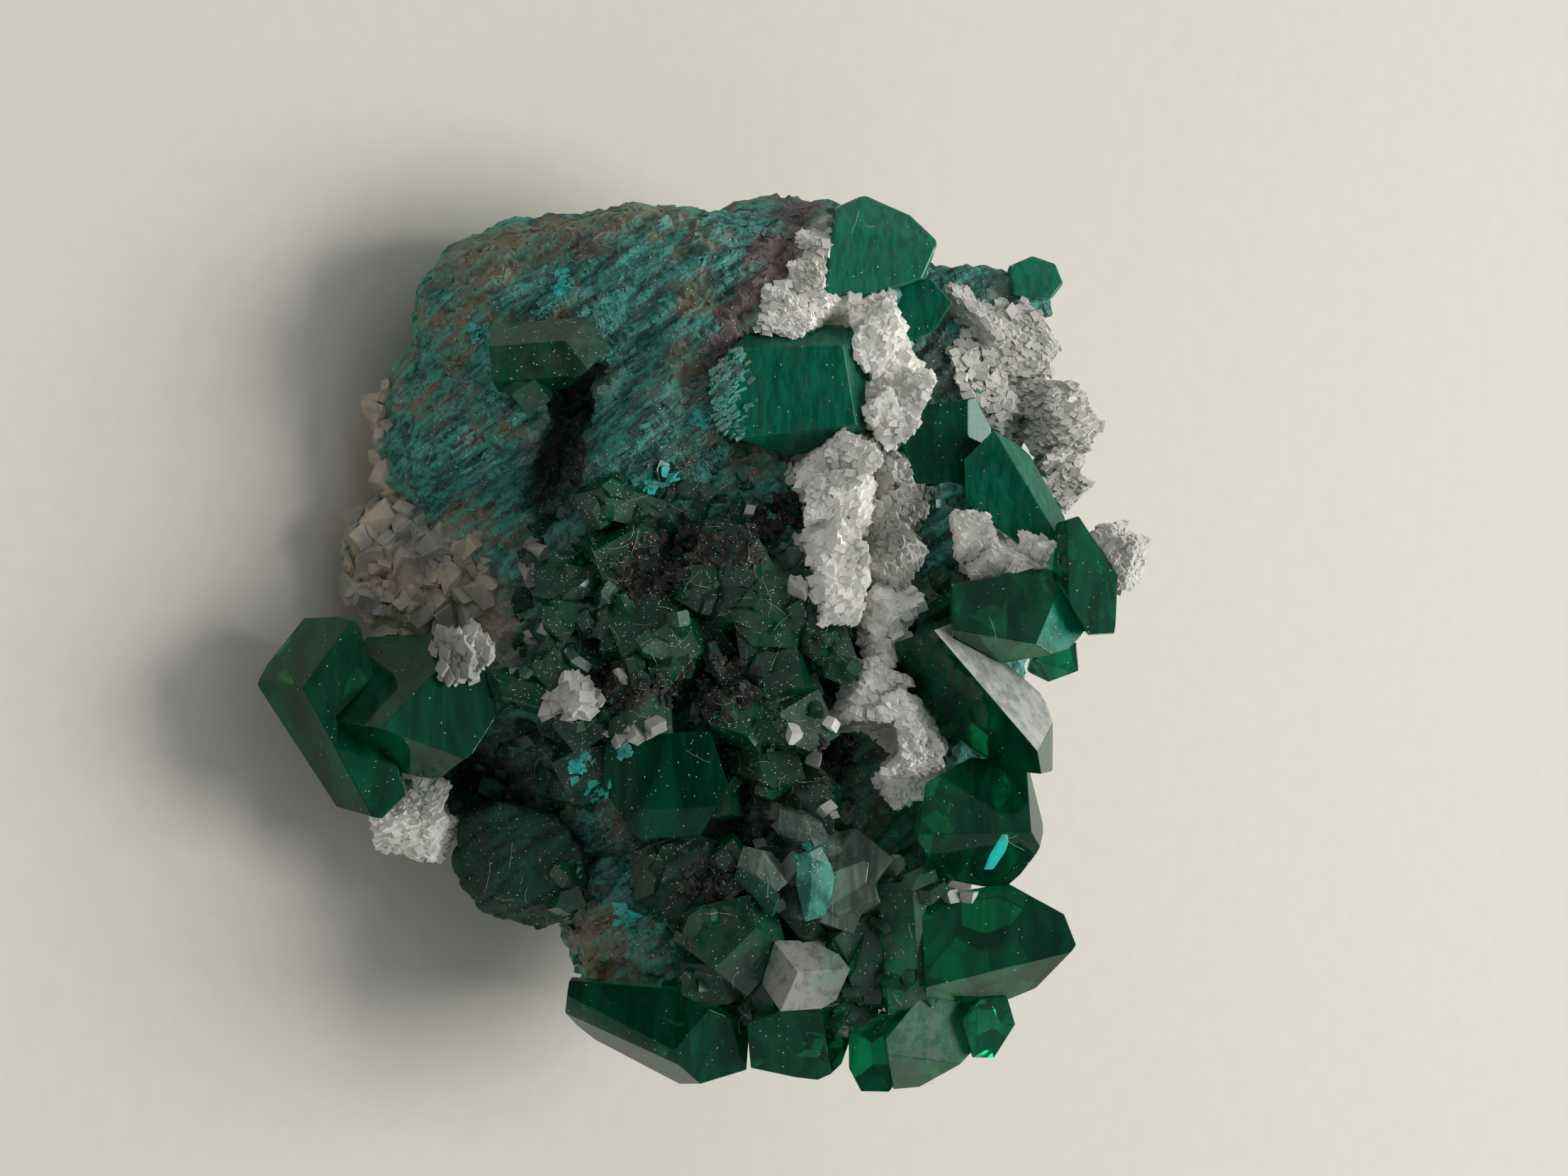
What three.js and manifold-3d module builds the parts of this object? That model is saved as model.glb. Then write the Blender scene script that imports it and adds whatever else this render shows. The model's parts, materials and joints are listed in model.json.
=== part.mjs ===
// Dioptase specimen: emerald dioptase crystals and white calcite grown on a teal-crusted rock.
// Lengths are millimetres and angles are degrees.
import * as THREE from "three";
import { mergeVertices } from "three/addons/utils/BufferGeometryUtils.js";
import Module from "manifold-3d";

const wasm = await Module();
wasm.setup();

// Driving dimensions
const FACE_LEAN = 30; // the crystal-covered face leans back this far from level
const FACE_HEIGHT = 14.16; // height of that face's centre above the resting plane
const SEAT_GAP = 0.3; // clearance between a piece and the neighbour it is cut by
const BACK_SLOPE = 24; // how steeply a main crystal's hidden back closes in
const END_FACE_TILT = 51; // angle from a dioptase axis to the normals of its three end faces
const CALCITE_ANGLE = 102; // angle between neighbouring edges at a calcite rhomb's blunt corner
const RIPPLE = 0.7; // height of the rock's bumps
const RIPPLE_WIDTH = 3.4; // spacing of the rock's bumps
const LEDGE_STEP = 2.6; // spacing of the rock's broken layers
const LEDGE_DEPTH = 0.8; // depth of each broken layer's step
const LEDGE_HEADING = 60; // direction across the layers, within the face

const GREEN = { color: 0x0b6b48, roughness: 0.15, metalness: 0 };
const WHITE = { color: 0xd8d6cc, roughness: 0.55, metalness: 0 };
const TEAL = { color: 0x3d6f6a, roughness: 0.9, metalness: 0 };

// Positions are in the face's own frame: x to the right, y up the face, z out of the face.
// A lump of rock is a rounded block: its centre, its half sizes, its turn within the face, how
// square it is (2 is an ellipsoid), how finely it is divided and how much rougher than usual.
const FRONT_LUMPS = [
  { at: [0, -1, -8], half: [13.5, 10.5, 6.2], turn: 0, square: 2.6, detail: 1, rough: 1 },
  { at: [-13.6, -2.6, -6.2], half: [6, 10.2, 4.4], turn: 3, square: 3.4, detail: 3, rough: 1 },
  { at: [-16.3, 5, -6.6], half: [3.9, 5.2, 3.8], turn: 0, square: 3, detail: 2, rough: 1 },
  { at: [-16, 12, -8.6], half: [1.2, 4.1, 1.7], turn: 0, square: 3, detail: 2, rough: 0.6 },
  { at: [-10.6, -0.9, -4], half: [5.4, 3, 3], turn: -25, square: 3, detail: 2, rough: 1 },
  { at: [-9.4, -10.2, -7], half: [5.4, 4.3, 3.6], turn: -15, square: 2.6, detail: 2, rough: 1 },
  { at: [-3.4, -12.2, -7.2], half: [4, 4, 3.6], turn: 20, square: 2.6, detail: 2, rough: 1.2 },
  { at: [-6.5, -11.4, -9.2], half: [6.2, 4, 4], turn: -10, square: 2.6, detail: 1, rough: 1 },
  { at: [12.4, 1.6, -6.8], half: [6, 7.8, 4.7], turn: 0, square: 2.6, detail: 2, rough: 1 },
  { at: [9.6, -6.6, -6.6], half: [3.2, 3.2, 2.8], turn: 0, square: 2.4, detail: 2, rough: 1 },
  { at: [1, 9.4, -7.8], half: [14, 5, 4.6], turn: -2, square: 2.6, detail: 1, rough: 1.2 },
  { at: [-11.5, 9, -8.6], half: [4.6, 6, 3.8], turn: 0, square: 2.6, detail: 2, rough: 1 },
];

// The rock's hidden back and base, shaped the same way.
const BACK_LUMPS = [
  { at: [-1, -5, -11], half: [13, 9.5, 8], turn: 0, square: 2.4, detail: 2, rough: 1.6 },
  { at: [2, 4, -13], half: [13, 8, 6.5], turn: 0, square: 2.4, detail: 1, rough: 2 },
  { at: [9, 7, -11.5], half: [6.5, 6, 5], turn: 20, square: 3, detail: 1, rough: 2 },
];

// Breaks across the back: a heading about the upright, a tilt above level and how far out
// from the middle of the base each one stands.
const BREAKS = [
  { heading: 98, tilt: -6, reach: 13.6 },
  { heading: 136, tilt: 6, reach: 13.4 },
  { heading: 54, tilt: -14, reach: 14.4 },
  { heading: 8, tilt: -24, reach: 10.6 },
  { heading: 78, tilt: 40, reach: 19.6 },
];

// Hollows sunk in the rock, shaped as lumps are.
const HOLLOWS = [
  { at: [-11.6, -5.9, -2.2], half: [2.5, 1.7, 3], turn: 8, square: 2, detail: 2, rough: 1 },
  { at: [-7.8, -6.6, -2.4], half: [3, 1.4, 3], turn: -16, square: 2, detail: 2, rough: 1 },
  { at: [6.6, -10.6, -2.5], half: [1.9, 1.9, 3.4], turn: 0, square: 2, detail: 2, rough: 1 },
];

// A main crystal is bounded by its outline as seen square to the face, by slopes that close in
// behind its girdle, by a deep end in the rock and by facets through three points each.
const MAIN_CRYSTALS = {
  peak_crystal: {
    outline: [[-5.45, 17.2], [-3, 19.25], [-0.45, 18.75], [-0.45, 17.7], [-2.8, 16.3], [-5.2, 16.4]],
    girdle: -1.6,
    deep: -4.6,
    facets: [
      [[-5.4, 17, -1.4], [-3, 19.2, -2.4], [-0.5, 17.9, -0.9]],
      [[-5.2, 16.5, -1.6], [-3.6, 16.9, -0.7], [-2.8, 16.4, -1.4]],
    ],
  },
  summit_crystal: {
    outline: [[-3.1, 15.6], [-2.8, 16.9], [-0.75, 17.7], [0.3, 16.6], [0.9, 13.8], [0, 11.6], [-2.4, 11.6]],
    girdle: -1.8,
    deep: -6,
    facets: [
      [[-2.9, 16.7, -1.8], [-0.75, 17.6, -2.2], [0.05, 15.1, 0.8]],
      [[-3, 15.9, -1.6], [0.05, 15.1, 0.8], [-1.8, 11.6, 0]],
      [[0.05, 15.1, 0.8], [0.9, 13.8, -1.8], [0, 11.8, -0.4]],
    ],
  },
  summit_side_crystal: {
    outline: [[0.9, 15.3], [0.3, 17.1], [1.3, 17.2], [1.75, 16], [1.3, 15.2]],
    girdle: -2.6,
    deep: -5.6,
    facets: [
      [[0.4, 17, -2.2], [1, 15.4, -1.4], [1.2, 17.1, -2.3]],
      [[1, 15.4, -1.4], [1.3, 17.1, -2.2], [1.7, 16, -2.4]],
    ],
  },
  long_prism: {
    outline: [
      [-0.8, 11.8], [2.1, 16], [2.9, 16.35], [5.8, 16], [5.75, 14.3], [5.1, 12.7], [2.6, 9.4], [0.2, 9.1],
    ],
    girdle: -1.4,
    deep: -5,
    facets: [
      [[-0.6, 12, -1.6], [0.2, 11.1, 0.9], [5, 15.2, 0.9]],
      [[0.2, 11.1, 0.9], [5, 15.2, 0.9], [5.1, 12.8, -1.6]],
      [[2.9, 16.2, -2.8], [5, 15.2, 0.7], [5.7, 15.9, -1.4]],
    ],
  },
  cyan_flash_crystal: {
    outline: [
      [5.5, 12.4], [5.8, 15], [8.4, 15.7], [9.6, 15.2], [11.3, 14], [10.6, 11], [8.8, 10], [6.6, 10.4],
    ],
    girdle: -1.8,
    deep: -6,
    facets: [
      [[5.8, 14.6, -1.8], [8.6, 14.9, 0], [8, 10.4, 0.9]],
      [[5.9, 14.9, -2], [8.5, 15.6, -2.2], [8.6, 14.9, 0]],
      [[8.6, 14.9, 0], [11.2, 13.9, -2.2], [9.2, 10.2, 0.8]],
    ],
  },
  right_summit_crystal: {
    outline: [[11.3, 14], [12.6, 16.5], [13.8, 16.9], [15.8, 15.3], [16.7, 13.2], [15.8, 10.4], [12, 10.2]],
    girdle: -2.4,
    deep: -6.4,
    facets: [
      [[11.4, 14, -1.8], [14.4, 15, -0.2], [13.5, 10.3, -0.4]],
      [[14.4, 15, -0.2], [15.6, 11.5, -0.1], [16.2, 14, -2.2]],
    ],
  },
  right_grey_crystal: {
    outline: [[16.2, 12.3], [18.8, 12.5], [20.6, 10.1], [20.4, 9], [18, 8.6], [16.4, 10]],
    girdle: -2.4,
    deep: -6,
    facets: [
      [[16.2, 12.1, -2], [19.3, 11.8, -2.4], [18.6, 9, -0.4]],
      [[19.3, 11.8, -2.4], [20.5, 10, -3], [18.6, 9, -0.4]],
    ],
  },
  right_edge_crystal: {
    outline: [[17, 8.8], [19.4, 9.3], [20.5, 8.6], [20.5, 7.5], [19.5, 7], [17.6, 7]],
    girdle: -2.8,
    deep: -6,
    facets: [
      [[17.2, 8.8, -1.3], [20.3, 8.4, -2.2], [18.5, 7.1, -1.8]],
    ],
  },
  right_top_small_crystal: {
    outline: [[16.5, 13.9], [17.6, 14.3], [19, 13.4], [18.9, 12.6], [17.4, 12.2], [16.6, 12.8]],
    girdle: -2.8,
    deep: -5.6,
    facets: [
      [[16.7, 13.6, -2], [18.8, 13.1, -2.5], [17.4, 12.3, -1.6]],
    ],
  },
  right_green_crystal: {
    outline: [[16.8, 4], [17, 6], [18.3, 6.9], [19.5, 6.5], [20.1, 5.4], [19.4, 2.5], [17.6, 2.4]],
    girdle: -2.6,
    deep: -6,
    facets: [
      [[16.9, 5.6, -0.9], [19.7, 5.5, -2.6], [18, 2.5, -1.2]],
      [[17.2, 6.2, -1.8], [19.4, 6.4, -3], [17.6, 5, -0.8]],
    ],
  },
  lower_right_prism: {
    outline: [[17.7, 2.1], [19.6, 2], [20.3, -0.9], [18.5, -4.9], [17, -6], [15.7, -5.8], [16, -1.2]],
    girdle: -3.2,
    deep: -7,
    facets: [
      [[17.7, 2, -2], [19.4, 1.9, -2.5], [18.5, -1.1, -0.6]],
      [[18.5, -1.1, -0.6], [16.4, -5.4, -1.6], [19, -3.2, -2.2]],
      [[19.6, -1.4, -2.4], [17.7, -5.3, -3], [20, -1.6, -3.4]],
      [[16.1, -1.3, -1.2], [18.5, -1.1, -0.6], [16.4, -5.4, -1.6]],
    ],
  },
  left_embedded_crystal: {
    outline: [
      [-14.5, 6.5], [-13.2, 8.2], [-11.3, 8.3], [-9.1, 7.1], [-8.6, 4], [-9.6, 1], [-12, 0.6], [-13.8, 2.2],
    ],
    girdle: -2.6,
    deep: -6.4,
    facets: [
      [[-13.4, 7, -1.6], [-9.9, 7, -1.6], [-12, 1.2, -0.7]],
      [[-14.4, 6.4, -3], [-13.4, 7, -1.6], [-13.2, 2.4, -1]],
      [[-13.1, 8, -3.2], [-12.4, 6.6, -1.5], [-11.2, 8.1, -3]],
      [[-9.9, 7, -1.6], [-9, 6.9, -2.8], [-8.8, 4, -2.2]],
    ],
  },
  left_green_block: {
    outline: [
      [-20.5, 7.6], [-19.8, 9.8], [-18.5, 10.9], [-16.8, 10.2], [-15.8, 7.4], [-16, 5.8], [-19.8, 6.4],
    ],
    girdle: -4.6,
    deep: -8,
    facets: [
      [[-19.4, 8, -3.6], [-17.2, 10, -4.2], [-16.5, 6, -2.5]],
      [[-20.3, 7.8, -4.6], [-19.2, 10.2, -5], [-18.8, 7, -3.1]],
    ],
  },
  left_small_block: {
    outline: [[-16.6, 10.6], [-15.6, 11.5], [-14.5, 10.8], [-13.9, 9.5], [-14.6, 8.4], [-16, 8.6]],
    girdle: -5,
    deep: -8,
    facets: [
      [[-16.4, 10.4, -4.4], [-14.6, 10.6, -4.3], [-15, 8.6, -4.3]],
    ],
  },
  column_tip_crystal: {
    outline: [[-17.9, 15.6], [-17.6, 16.6], [-16.8, 16.9], [-16.2, 16.4], [-16.3, 14.8], [-17.4, 14.6]],
    girdle: -7.8,
    deep: -9.6,
    facets: [
      [[-17.7, 15.8, -7.4], [-16.4, 16.2, -7.2], [-16.8, 14.8, -6.8]],
    ],
  },
  upper_left_prism: {
    outline: [
      [-9.4, 13.5], [-8.5, 15.2], [-5.6, 16.7], [-4.5, 16.4], [-4.3, 15], [-6.4, 12.4], [-8.2, 12.3],
    ],
    girdle: -3.2,
    deep: -6.4,
    facets: [
      [[-9, 13.7, -2.2], [-8.4, 15, -3.4], [-5, 16.1, -2.2]],
      [[-9, 13.7, -2.2], [-5, 16.1, -2.2], [-6.4, 12.6, -2.5]],
    ],
  },
  upper_left_dark_crystal: {
    outline: [[-11, 12.6], [-9.8, 13.6], [-8.3, 13.2], [-7.2, 12], [-7.4, 10], [-9, 9.4], [-10.6, 10.4]],
    girdle: -4,
    deep: -7,
    facets: [
      [[-10.8, 12.6, -3.8], [-7.4, 12, -3.4], [-9, 9.6, -2.6]],
      [[-10.4, 12.9, -4.2], [-8.4, 13, -4.2], [-9, 11.6, -3]],
    ],
  },
  smooth_dark_crystal: {
    outline: [[4.2, 0.4], [6.6, 1.2], [8.7, 0], [8.8, -2.6], [6.6, -4.2], [4.5, -4]],
    girdle: -0.6,
    deep: -4.4,
    facets: [
      [[4.4, 0.2, 0], [7.4, 0.2, 0.3], [4.8, -3.8, 0.1]],
      [[7.4, 0.1, 0.3], [8.6, -0.2, -0.4], [7.8, -2.6, 0.2]],
      [[4.6, -2.6, 0.2], [7.6, -2.8, 0.2], [6.4, -4.1, -0.6]],
    ],
  },
  green_dome: {
    outline: [
      [7.6, -9.2], [8.2, -6.6], [10, -5.4], [12.8, -6], [13.3, -7.6], [12.5, -9.9], [10.4, -11.4],
      [8.4, -10.9],
    ],
    girdle: -4,
    deep: -7.4,
    facets: [
      [[8, -7.5, -2.3], [12.4, -6.4, -2.4], [10, -9.6, -2.3]],
      [[12.4, -6.2, -2.5], [13.2, -7.6, -4], [11.8, -10.3, -3]],
      [[8.4, -10.7, -3.4], [11.4, -10.8, -3.4], [10, -9.6, -2.3]],
    ],
  },
  lower_twin: {
    outline: [
      [-0.9, -15.2], [0, -11.6], [1.6, -9.5], [3.4, -9.3], [5, -10.3], [6.2, -12], [5.7, -14],
      [3.4, -16.2], [-0.7, -16.1],
    ],
    girdle: -1,
    deep: -5.4,
    facets: [
      [[3.8, -13.9, 2.6], [1.5, -11.8, 1.2], [5, -11, 0.8]],
      [[3.8, -13.9, 2.6], [5, -11, 0.8], [6.05, -12.1, -1]],
      [[3.8, -13.9, 2.6], [1.5, -11.8, 1.2], [0.8, -12.8, -0.4]],
      [[3.8, -13.9, 2.6], [5.5, -13.8, -0.6], [4.2, -15.2, 0.4]],
    ],
  },
  lowest_long_crystal: {
    outline: [[-0.7, -15.6], [-1.4, -18.3], [2, -19.85], [7.4, -16.3], [7.8, -14.3], [7, -13.4]],
    girdle: -1.2,
    deep: -4,
    facets: [
      [[-0.9, -16.4, -1.2], [2.1, -17.6, 1.2], [1.9, -19.5, -0.4]],
      [[2.1, -17.6, 1.2], [7.5, -14.7, 0.8], [2.1, -19.7, -0.8]],
      [[2.1, -17.6, 1.2], [7.5, -14.7, 0.8], [-0.7, -16, -0.4]],
    ],
  },
};

// A smaller crystal is placed by its tip, its heading within the face, its rise out of the face,
// the distance from its axis to a prism face, its length and its spin about its own axis.
// Those of the crowded middle overlap, so each list grows as one piece.
const CROWDED_CRYSTALS = {
  pale_cluster: [
    { tip: [9.6, 8.8, -0.4], heading: 104, rise: 40, radius: 1.3, length: 4.4, spin: 20 },
    { tip: [11.4, 8.2, 0.2], heading: 82, rise: 52, radius: 1.5, length: 4.6, spin: 4 },
    { tip: [13.4, 7, -0.7], heading: 34, rise: 36, radius: 1.25, length: 4.2, spin: 12 },
    { tip: [10.6, 5, 0.7], heading: 250, rise: 62, radius: 1.5, length: 4.4, spin: 16 },
  ],
  right_crystals: [
    { tip: [17.6, 9.5, -1], heading: 4, rise: 8, radius: 1.15, length: 6.4, spin: 16 },
    { tip: [16.6, 7.2, -1], heading: -12, rise: 24, radius: 1.1, length: 4.6, spin: 0 },
    { tip: [17.6, 8, -0.8], heading: 62, rise: 40, radius: 0.95, length: 3.6, spin: 0 },
    { tip: [14.2, 2.4, 0], heading: 20, rise: 50, radius: 1.5, length: 4.4, spin: 22 },
    { tip: [10.7, 2.8, 0.3], heading: 96, rise: 56, radius: 1.4, length: 4.4, spin: 8 },
    { tip: [12.6, -0.6, 0], heading: 300, rise: 48, radius: 1.3, length: 4.4, spin: 2 },
    { tip: [16.6, -0.6, -1], heading: 330, rise: 32, radius: 1.3, length: 4.8, spin: 12 },
    { tip: [15.4, -4.6, -1.8], heading: 290, rise: 34, radius: 1.4, length: 5, spin: 0 },
    { tip: [17.6, 4, -1], heading: 10, rise: 40, radius: 1.2, length: 4.4, spin: 18 },
  ],
  centre_crystals: [
    { tip: [2, 4.7, 0.6], heading: 70, rise: 56, radius: 1.2, length: 4, spin: 18 },
    { tip: [-0.8, 6.2, -0.4], heading: 92, rise: 40, radius: 0.9, length: 4, spin: 4 },
    { tip: [-3.7, 5, -0.6], heading: 98, rise: 36, radius: 0.85, length: 3.8, spin: 14 },
    { tip: [6.2, 4.9, 0], heading: 80, rise: 42, radius: 1.2, length: 4.4, spin: 0 },
    { tip: [4.2, 2, 0.9], heading: 30, rise: 60, radius: 1.1, length: 4, spin: 24 },
    { tip: [-7.1, 4.7, -1], heading: 82, rise: 30, radius: 1.25, length: 4.4, spin: 10 },
    { tip: [-1.8, -1, 0.3], heading: 300, rise: 32, radius: 0.8, length: 4.2, spin: 0 },
    { tip: [-5.2, 1.2, -0.2], heading: 140, rise: 50, radius: 1.1, length: 4, spin: 20 },
    { tip: [-2.4, 2.2, 0.3], heading: 120, rise: 55, radius: 1.1, length: 4, spin: 6 },
    { tip: [-4, -4.7, 0.8], heading: 250, rise: 60, radius: 1.6, length: 4.6, spin: 28 },
    { tip: [-6.6, -5.5, -0.2], heading: 256, rise: 30, radius: 0.8, length: 4, spin: 0 },
    { tip: [-0.2, -2.7, 1.2], heading: 268, rise: 62, radius: 1.45, length: 4.8, spin: 14 },
    { tip: [-1.5, -7, 0], heading: 264, rise: 20, radius: 0.55, length: 4.6, spin: 0 },
    { tip: [-3, -7.6, -0.3], heading: 258, rise: 26, radius: 0.95, length: 4.4, spin: 18 },
    { tip: [1.2, -7.6, 0], heading: 282, rise: 36, radius: 1.1, length: 4.4, spin: 8 },
    { tip: [1.7, -9.7, -0.3], heading: 252, rise: 10, radius: 0.6, length: 4.6, spin: 0 },
    { tip: [2.9, -4, 0.6], heading: 300, rise: 60, radius: 1.1, length: 4.4, spin: 12 },
    { tip: [5.6, -6.8, -0.6], heading: 268, rise: 36, radius: 1.1, length: 4.6, spin: 5 },
    { tip: [9.4, -4.8, -0.6], heading: 290, rise: 42, radius: 1.2, length: 4.6, spin: 20 },
  ],
};

// Crystals that fill the crowd between those above: the middle, half width and half height of
// the filled ellipse, the spacing and the usual distance from axis to prism face.
const FILLINGS = {
  right_crystals: { at: [13, 1.4, -0.9], half: [6, 8], spacing: 3.6, radius: 1.7 },
  centre_crystals: { at: [1.4, 1, -0.5], half: [9, 8.6], spacing: 3.25, radius: 1.5 },
};

// Crystals that line the hollow under the rock's ridge.
const HOLLOW_CRYSTALS = [
  { tip: [-13.3, -4.2, -1], heading: 94, rise: 5, radius: 1.25, length: 5, spin: 12 },
  { tip: [-10.2, -7.7, -1.2], heading: 4, rise: 12, radius: 0.9, length: 4, spin: 0 },
  { tip: [-12.2, -6.4, -1.5], heading: 60, rise: 40, radius: 0.8, length: 3.6, spin: 20 },
];

// A calcite clump follows a path: its corner points, how many rhombs, their size and scatter.
const CALCITES = {
  calcite_vein: {
    path: [[-18.4, 5.6, -3.4], [-15.6, 4.9, -3], [-14.1, 3.1, -2.7]], count: 5, size: 1.5, spread: 0.3,
  },
  calcite_upper_left: {
    path: [[-15, 7.6, -3.2], [-12, 9, -3.4], [-9.4, 9.4, -2.9]], count: 5, size: 1.9, spread: 0.4,
  },
  calcite_bright_strip: {
    path: [[-8.4, 6.2, -1.8], [-5.2, 6.1, -1.4], [-2, 6.1, -1.3]], count: 5, size: 2.1, spread: 0.4,
  },
  calcite_grey_clumps: {
    path: [[-7.6, 8.8, -2.8], [-3.2, 9, -2.6]], count: 4, size: 1.8, spread: 0.8,
  },
  calcite_star: {
    path: [[-1.6, 8.7, -2.3], [0.4, 8.5, -2.3]], count: 3, size: 1.5, spread: 0.3,
  },
  calcite_centre: {
    path: [[2.7, 7.6, -1.5], [3.8, 8.6, -1.5], [6, 9.8, -1.7]], count: 4, size: 2.2, spread: 0.4,
  },
  calcite_upright: {
    path: [[-4.6, 12.2, -2.6], [-3.5, 13.8, -2.4], [-3.7, 16, -2.6]], count: 4, size: 1.3, spread: 0.5,
  },
  calcite_back_mass: {
    path: [[-14.4, 12.8, -8], [-14, 15.6, -8.2], [-10.6, 15, -7.6]], count: 4, size: 2.5, spread: 1,
  },
  calcite_upper_back: {
    path: [[-11, 16.8, -7], [-9, 16.6, -6.6], [-6.6, 16.8, -5.8]], count: 5, size: 1.6, spread: 0.5,
  },
  calcite_behind_peak: {
    path: [[-3.9, 19.3, -2.9], [-3.4, 18.4, -3.8]], count: 4, size: 1.5, spread: 0.3,
  },
  calcite_single: {
    path: [[15, 4.8, -0.4], [15.2, 4.7, -0.4]], count: 1, size: 2.2, spread: 0,
  },
  calcite_lower_right: {
    path: [[8.2, -14.4, -3.4], [8.8, -12.2, -3.8]], count: 3, size: 1.7, spread: 0.5,
  },
  calcite_on_twin: {
    path: [[0.2, -10.2, 0], [1, -11.2, 1]], count: 4, size: 1.2, spread: 0.3,
  },
  calcite_small: {
    path: [[2.4, -5.2, 0.3], [3.2, -6.2, 0], [2.9, -7.2, -0.2]], count: 3, size: 0.9, spread: 0.3,
  },
};

const lean = THREE.MathUtils.degToRad(FACE_LEAN);

// A repeatable stream of values between 0 and 1.
function seeded(seed) {
  let state = (seed * 2654435761 + 12345) % 4294967296;
  return () => {
    state = (state * 1664525 + 1013904223) % 4294967296;
    return state / 4294967296;
  };
}

function turned(heading, rise, spin) {
  const face = new THREE.Matrix4().makeRotationZ(THREE.MathUtils.degToRad(heading));
  const lift = new THREE.Matrix4().makeRotationY(THREE.MathUtils.degToRad(90 - rise));
  const roll = new THREE.Matrix4().makeRotationZ(THREE.MathUtils.degToRad(spin));
  return face.multiply(lift).multiply(roll);
}

function toSolid(geometry) {
  geometry.deleteAttribute("normal");
  geometry.deleteAttribute("uv");
  const merged = mergeVertices(geometry, 1e-4);
  const mesh = new wasm.Mesh({
    numProp: 3,
    vertProperties: new Float32Array(merged.attributes.position.array),
    triVerts: new Uint32Array(merged.index.array),
  });
  return new wasm.Manifold(mesh);
}

function toMesh(name, solid, finish) {
  const data = solid.getMesh();
  const geometry = new THREE.BufferGeometry();
  geometry.setAttribute("position", new THREE.BufferAttribute(data.vertProperties, 3));
  geometry.setIndex(new THREE.BufferAttribute(data.triVerts, 1));
  geometry.computeVertexNormals();
  const mesh = new THREE.Mesh(geometry, new THREE.MeshStandardMaterial(finish));
  mesh.name = name;
  return mesh;
}

// What is left on the inner side of a plane that stands `reach` from the origin.
function cutBack(solid, normal, reach) {
  return solid.trimByPlane([-normal.x, -normal.y, -normal.z], -reach);
}

// A six-sided prism with three end faces over every second prism edge. Its growth is uneven,
// so each face stands a little nearer or farther than a perfect crystal's would.
function dioptase(crystal, seed, grow) {
  const random = seeded(seed);
  const span = 4 * (crystal.radius + crystal.length);
  let solid = toSolid(new THREE.BoxGeometry(span, span, span));
  for (let side = 0; side < 6; side++) {
    const angle = THREE.MathUtils.degToRad(side * 60);
    const normal = new THREE.Vector3(Math.cos(angle), Math.sin(angle), 0);
    solid = cutBack(solid, normal, crystal.radius * (0.8 + 0.4 * random()) + grow);
  }
  const tilt = THREE.MathUtils.degToRad(END_FACE_TILT);
  for (let end = 0; end < 3; end++) {
    const angle = THREE.MathUtils.degToRad(30 + end * 120);
    const normal = new THREE.Vector3(Math.cos(angle), Math.sin(angle), 0);
    normal.multiplyScalar(Math.sin(tilt)).setZ(Math.cos(tilt));
    solid = cutBack(solid, normal, grow - crystal.radius * 0.3 * random());
  }
  solid = cutBack(solid, new THREE.Vector3(0, 0, -1), crystal.length + grow);
  const place = turned(crystal.heading, crystal.rise, crystal.spin).setPosition(...crystal.tip);
  return solid.transform(place.elements);
}

// The plane through three points, its normal turned away from a point inside the crystal.
function outwardPlane(corners, inside) {
  const points = corners.map((corner) => new THREE.Vector3(...corner));
  const plane = new THREE.Plane().setFromCoplanarPoints(...points);
  return plane.distanceToPoint(inside) > 0 ? plane.negate() : plane;
}

// A main crystal: every bounding plane cuts back one block.
function facetted(crystal, grow) {
  const count = crystal.outline.length;
  const inside = new THREE.Vector3();
  crystal.outline.forEach(([x, y]) => inside.add(new THREE.Vector3(x / count, y / count, 0)));
  inside.z = crystal.girdle - 0.2;
  const planes = crystal.facets.map((corners) => outwardPlane(corners, inside));
  crystal.outline.forEach(([x, y], index) => {
    const [nextX, nextY] = crystal.outline[(index + 1) % count];
    const rim = [[x, y, crystal.girdle], [nextX, nextY, crystal.girdle]];
    planes.push(outwardPlane([...rim, [x, y, crystal.girdle + 1]], inside));
    const wall = planes[planes.length - 1].normal;
    const tuck = Math.tan(THREE.MathUtils.degToRad(BACK_SLOPE));
    const behind = [x - tuck * wall.x, y - tuck * wall.y, crystal.girdle - 1];
    planes.push(outwardPlane([...rim, behind], inside));
  });
  const span = 60;
  let solid = toSolid(new THREE.BoxGeometry(span, span, span).translate(inside.x, inside.y, 0));
  for (const plane of planes) {
    solid = cutBack(solid, plane.normal, grow - plane.constant);
  }
  return cutBack(solid, new THREE.Vector3(0, 0, -1), grow - crystal.deep);
}

function joined(solids) {
  return solids.reduce((sum, solid) => sum.add(solid));
}

function crystalGroup(crystals, seed, grow) {
  return joined(crystals.map((crystal, index) => dioptase(crystal, seed * 31 + index, grow)));
}

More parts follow.
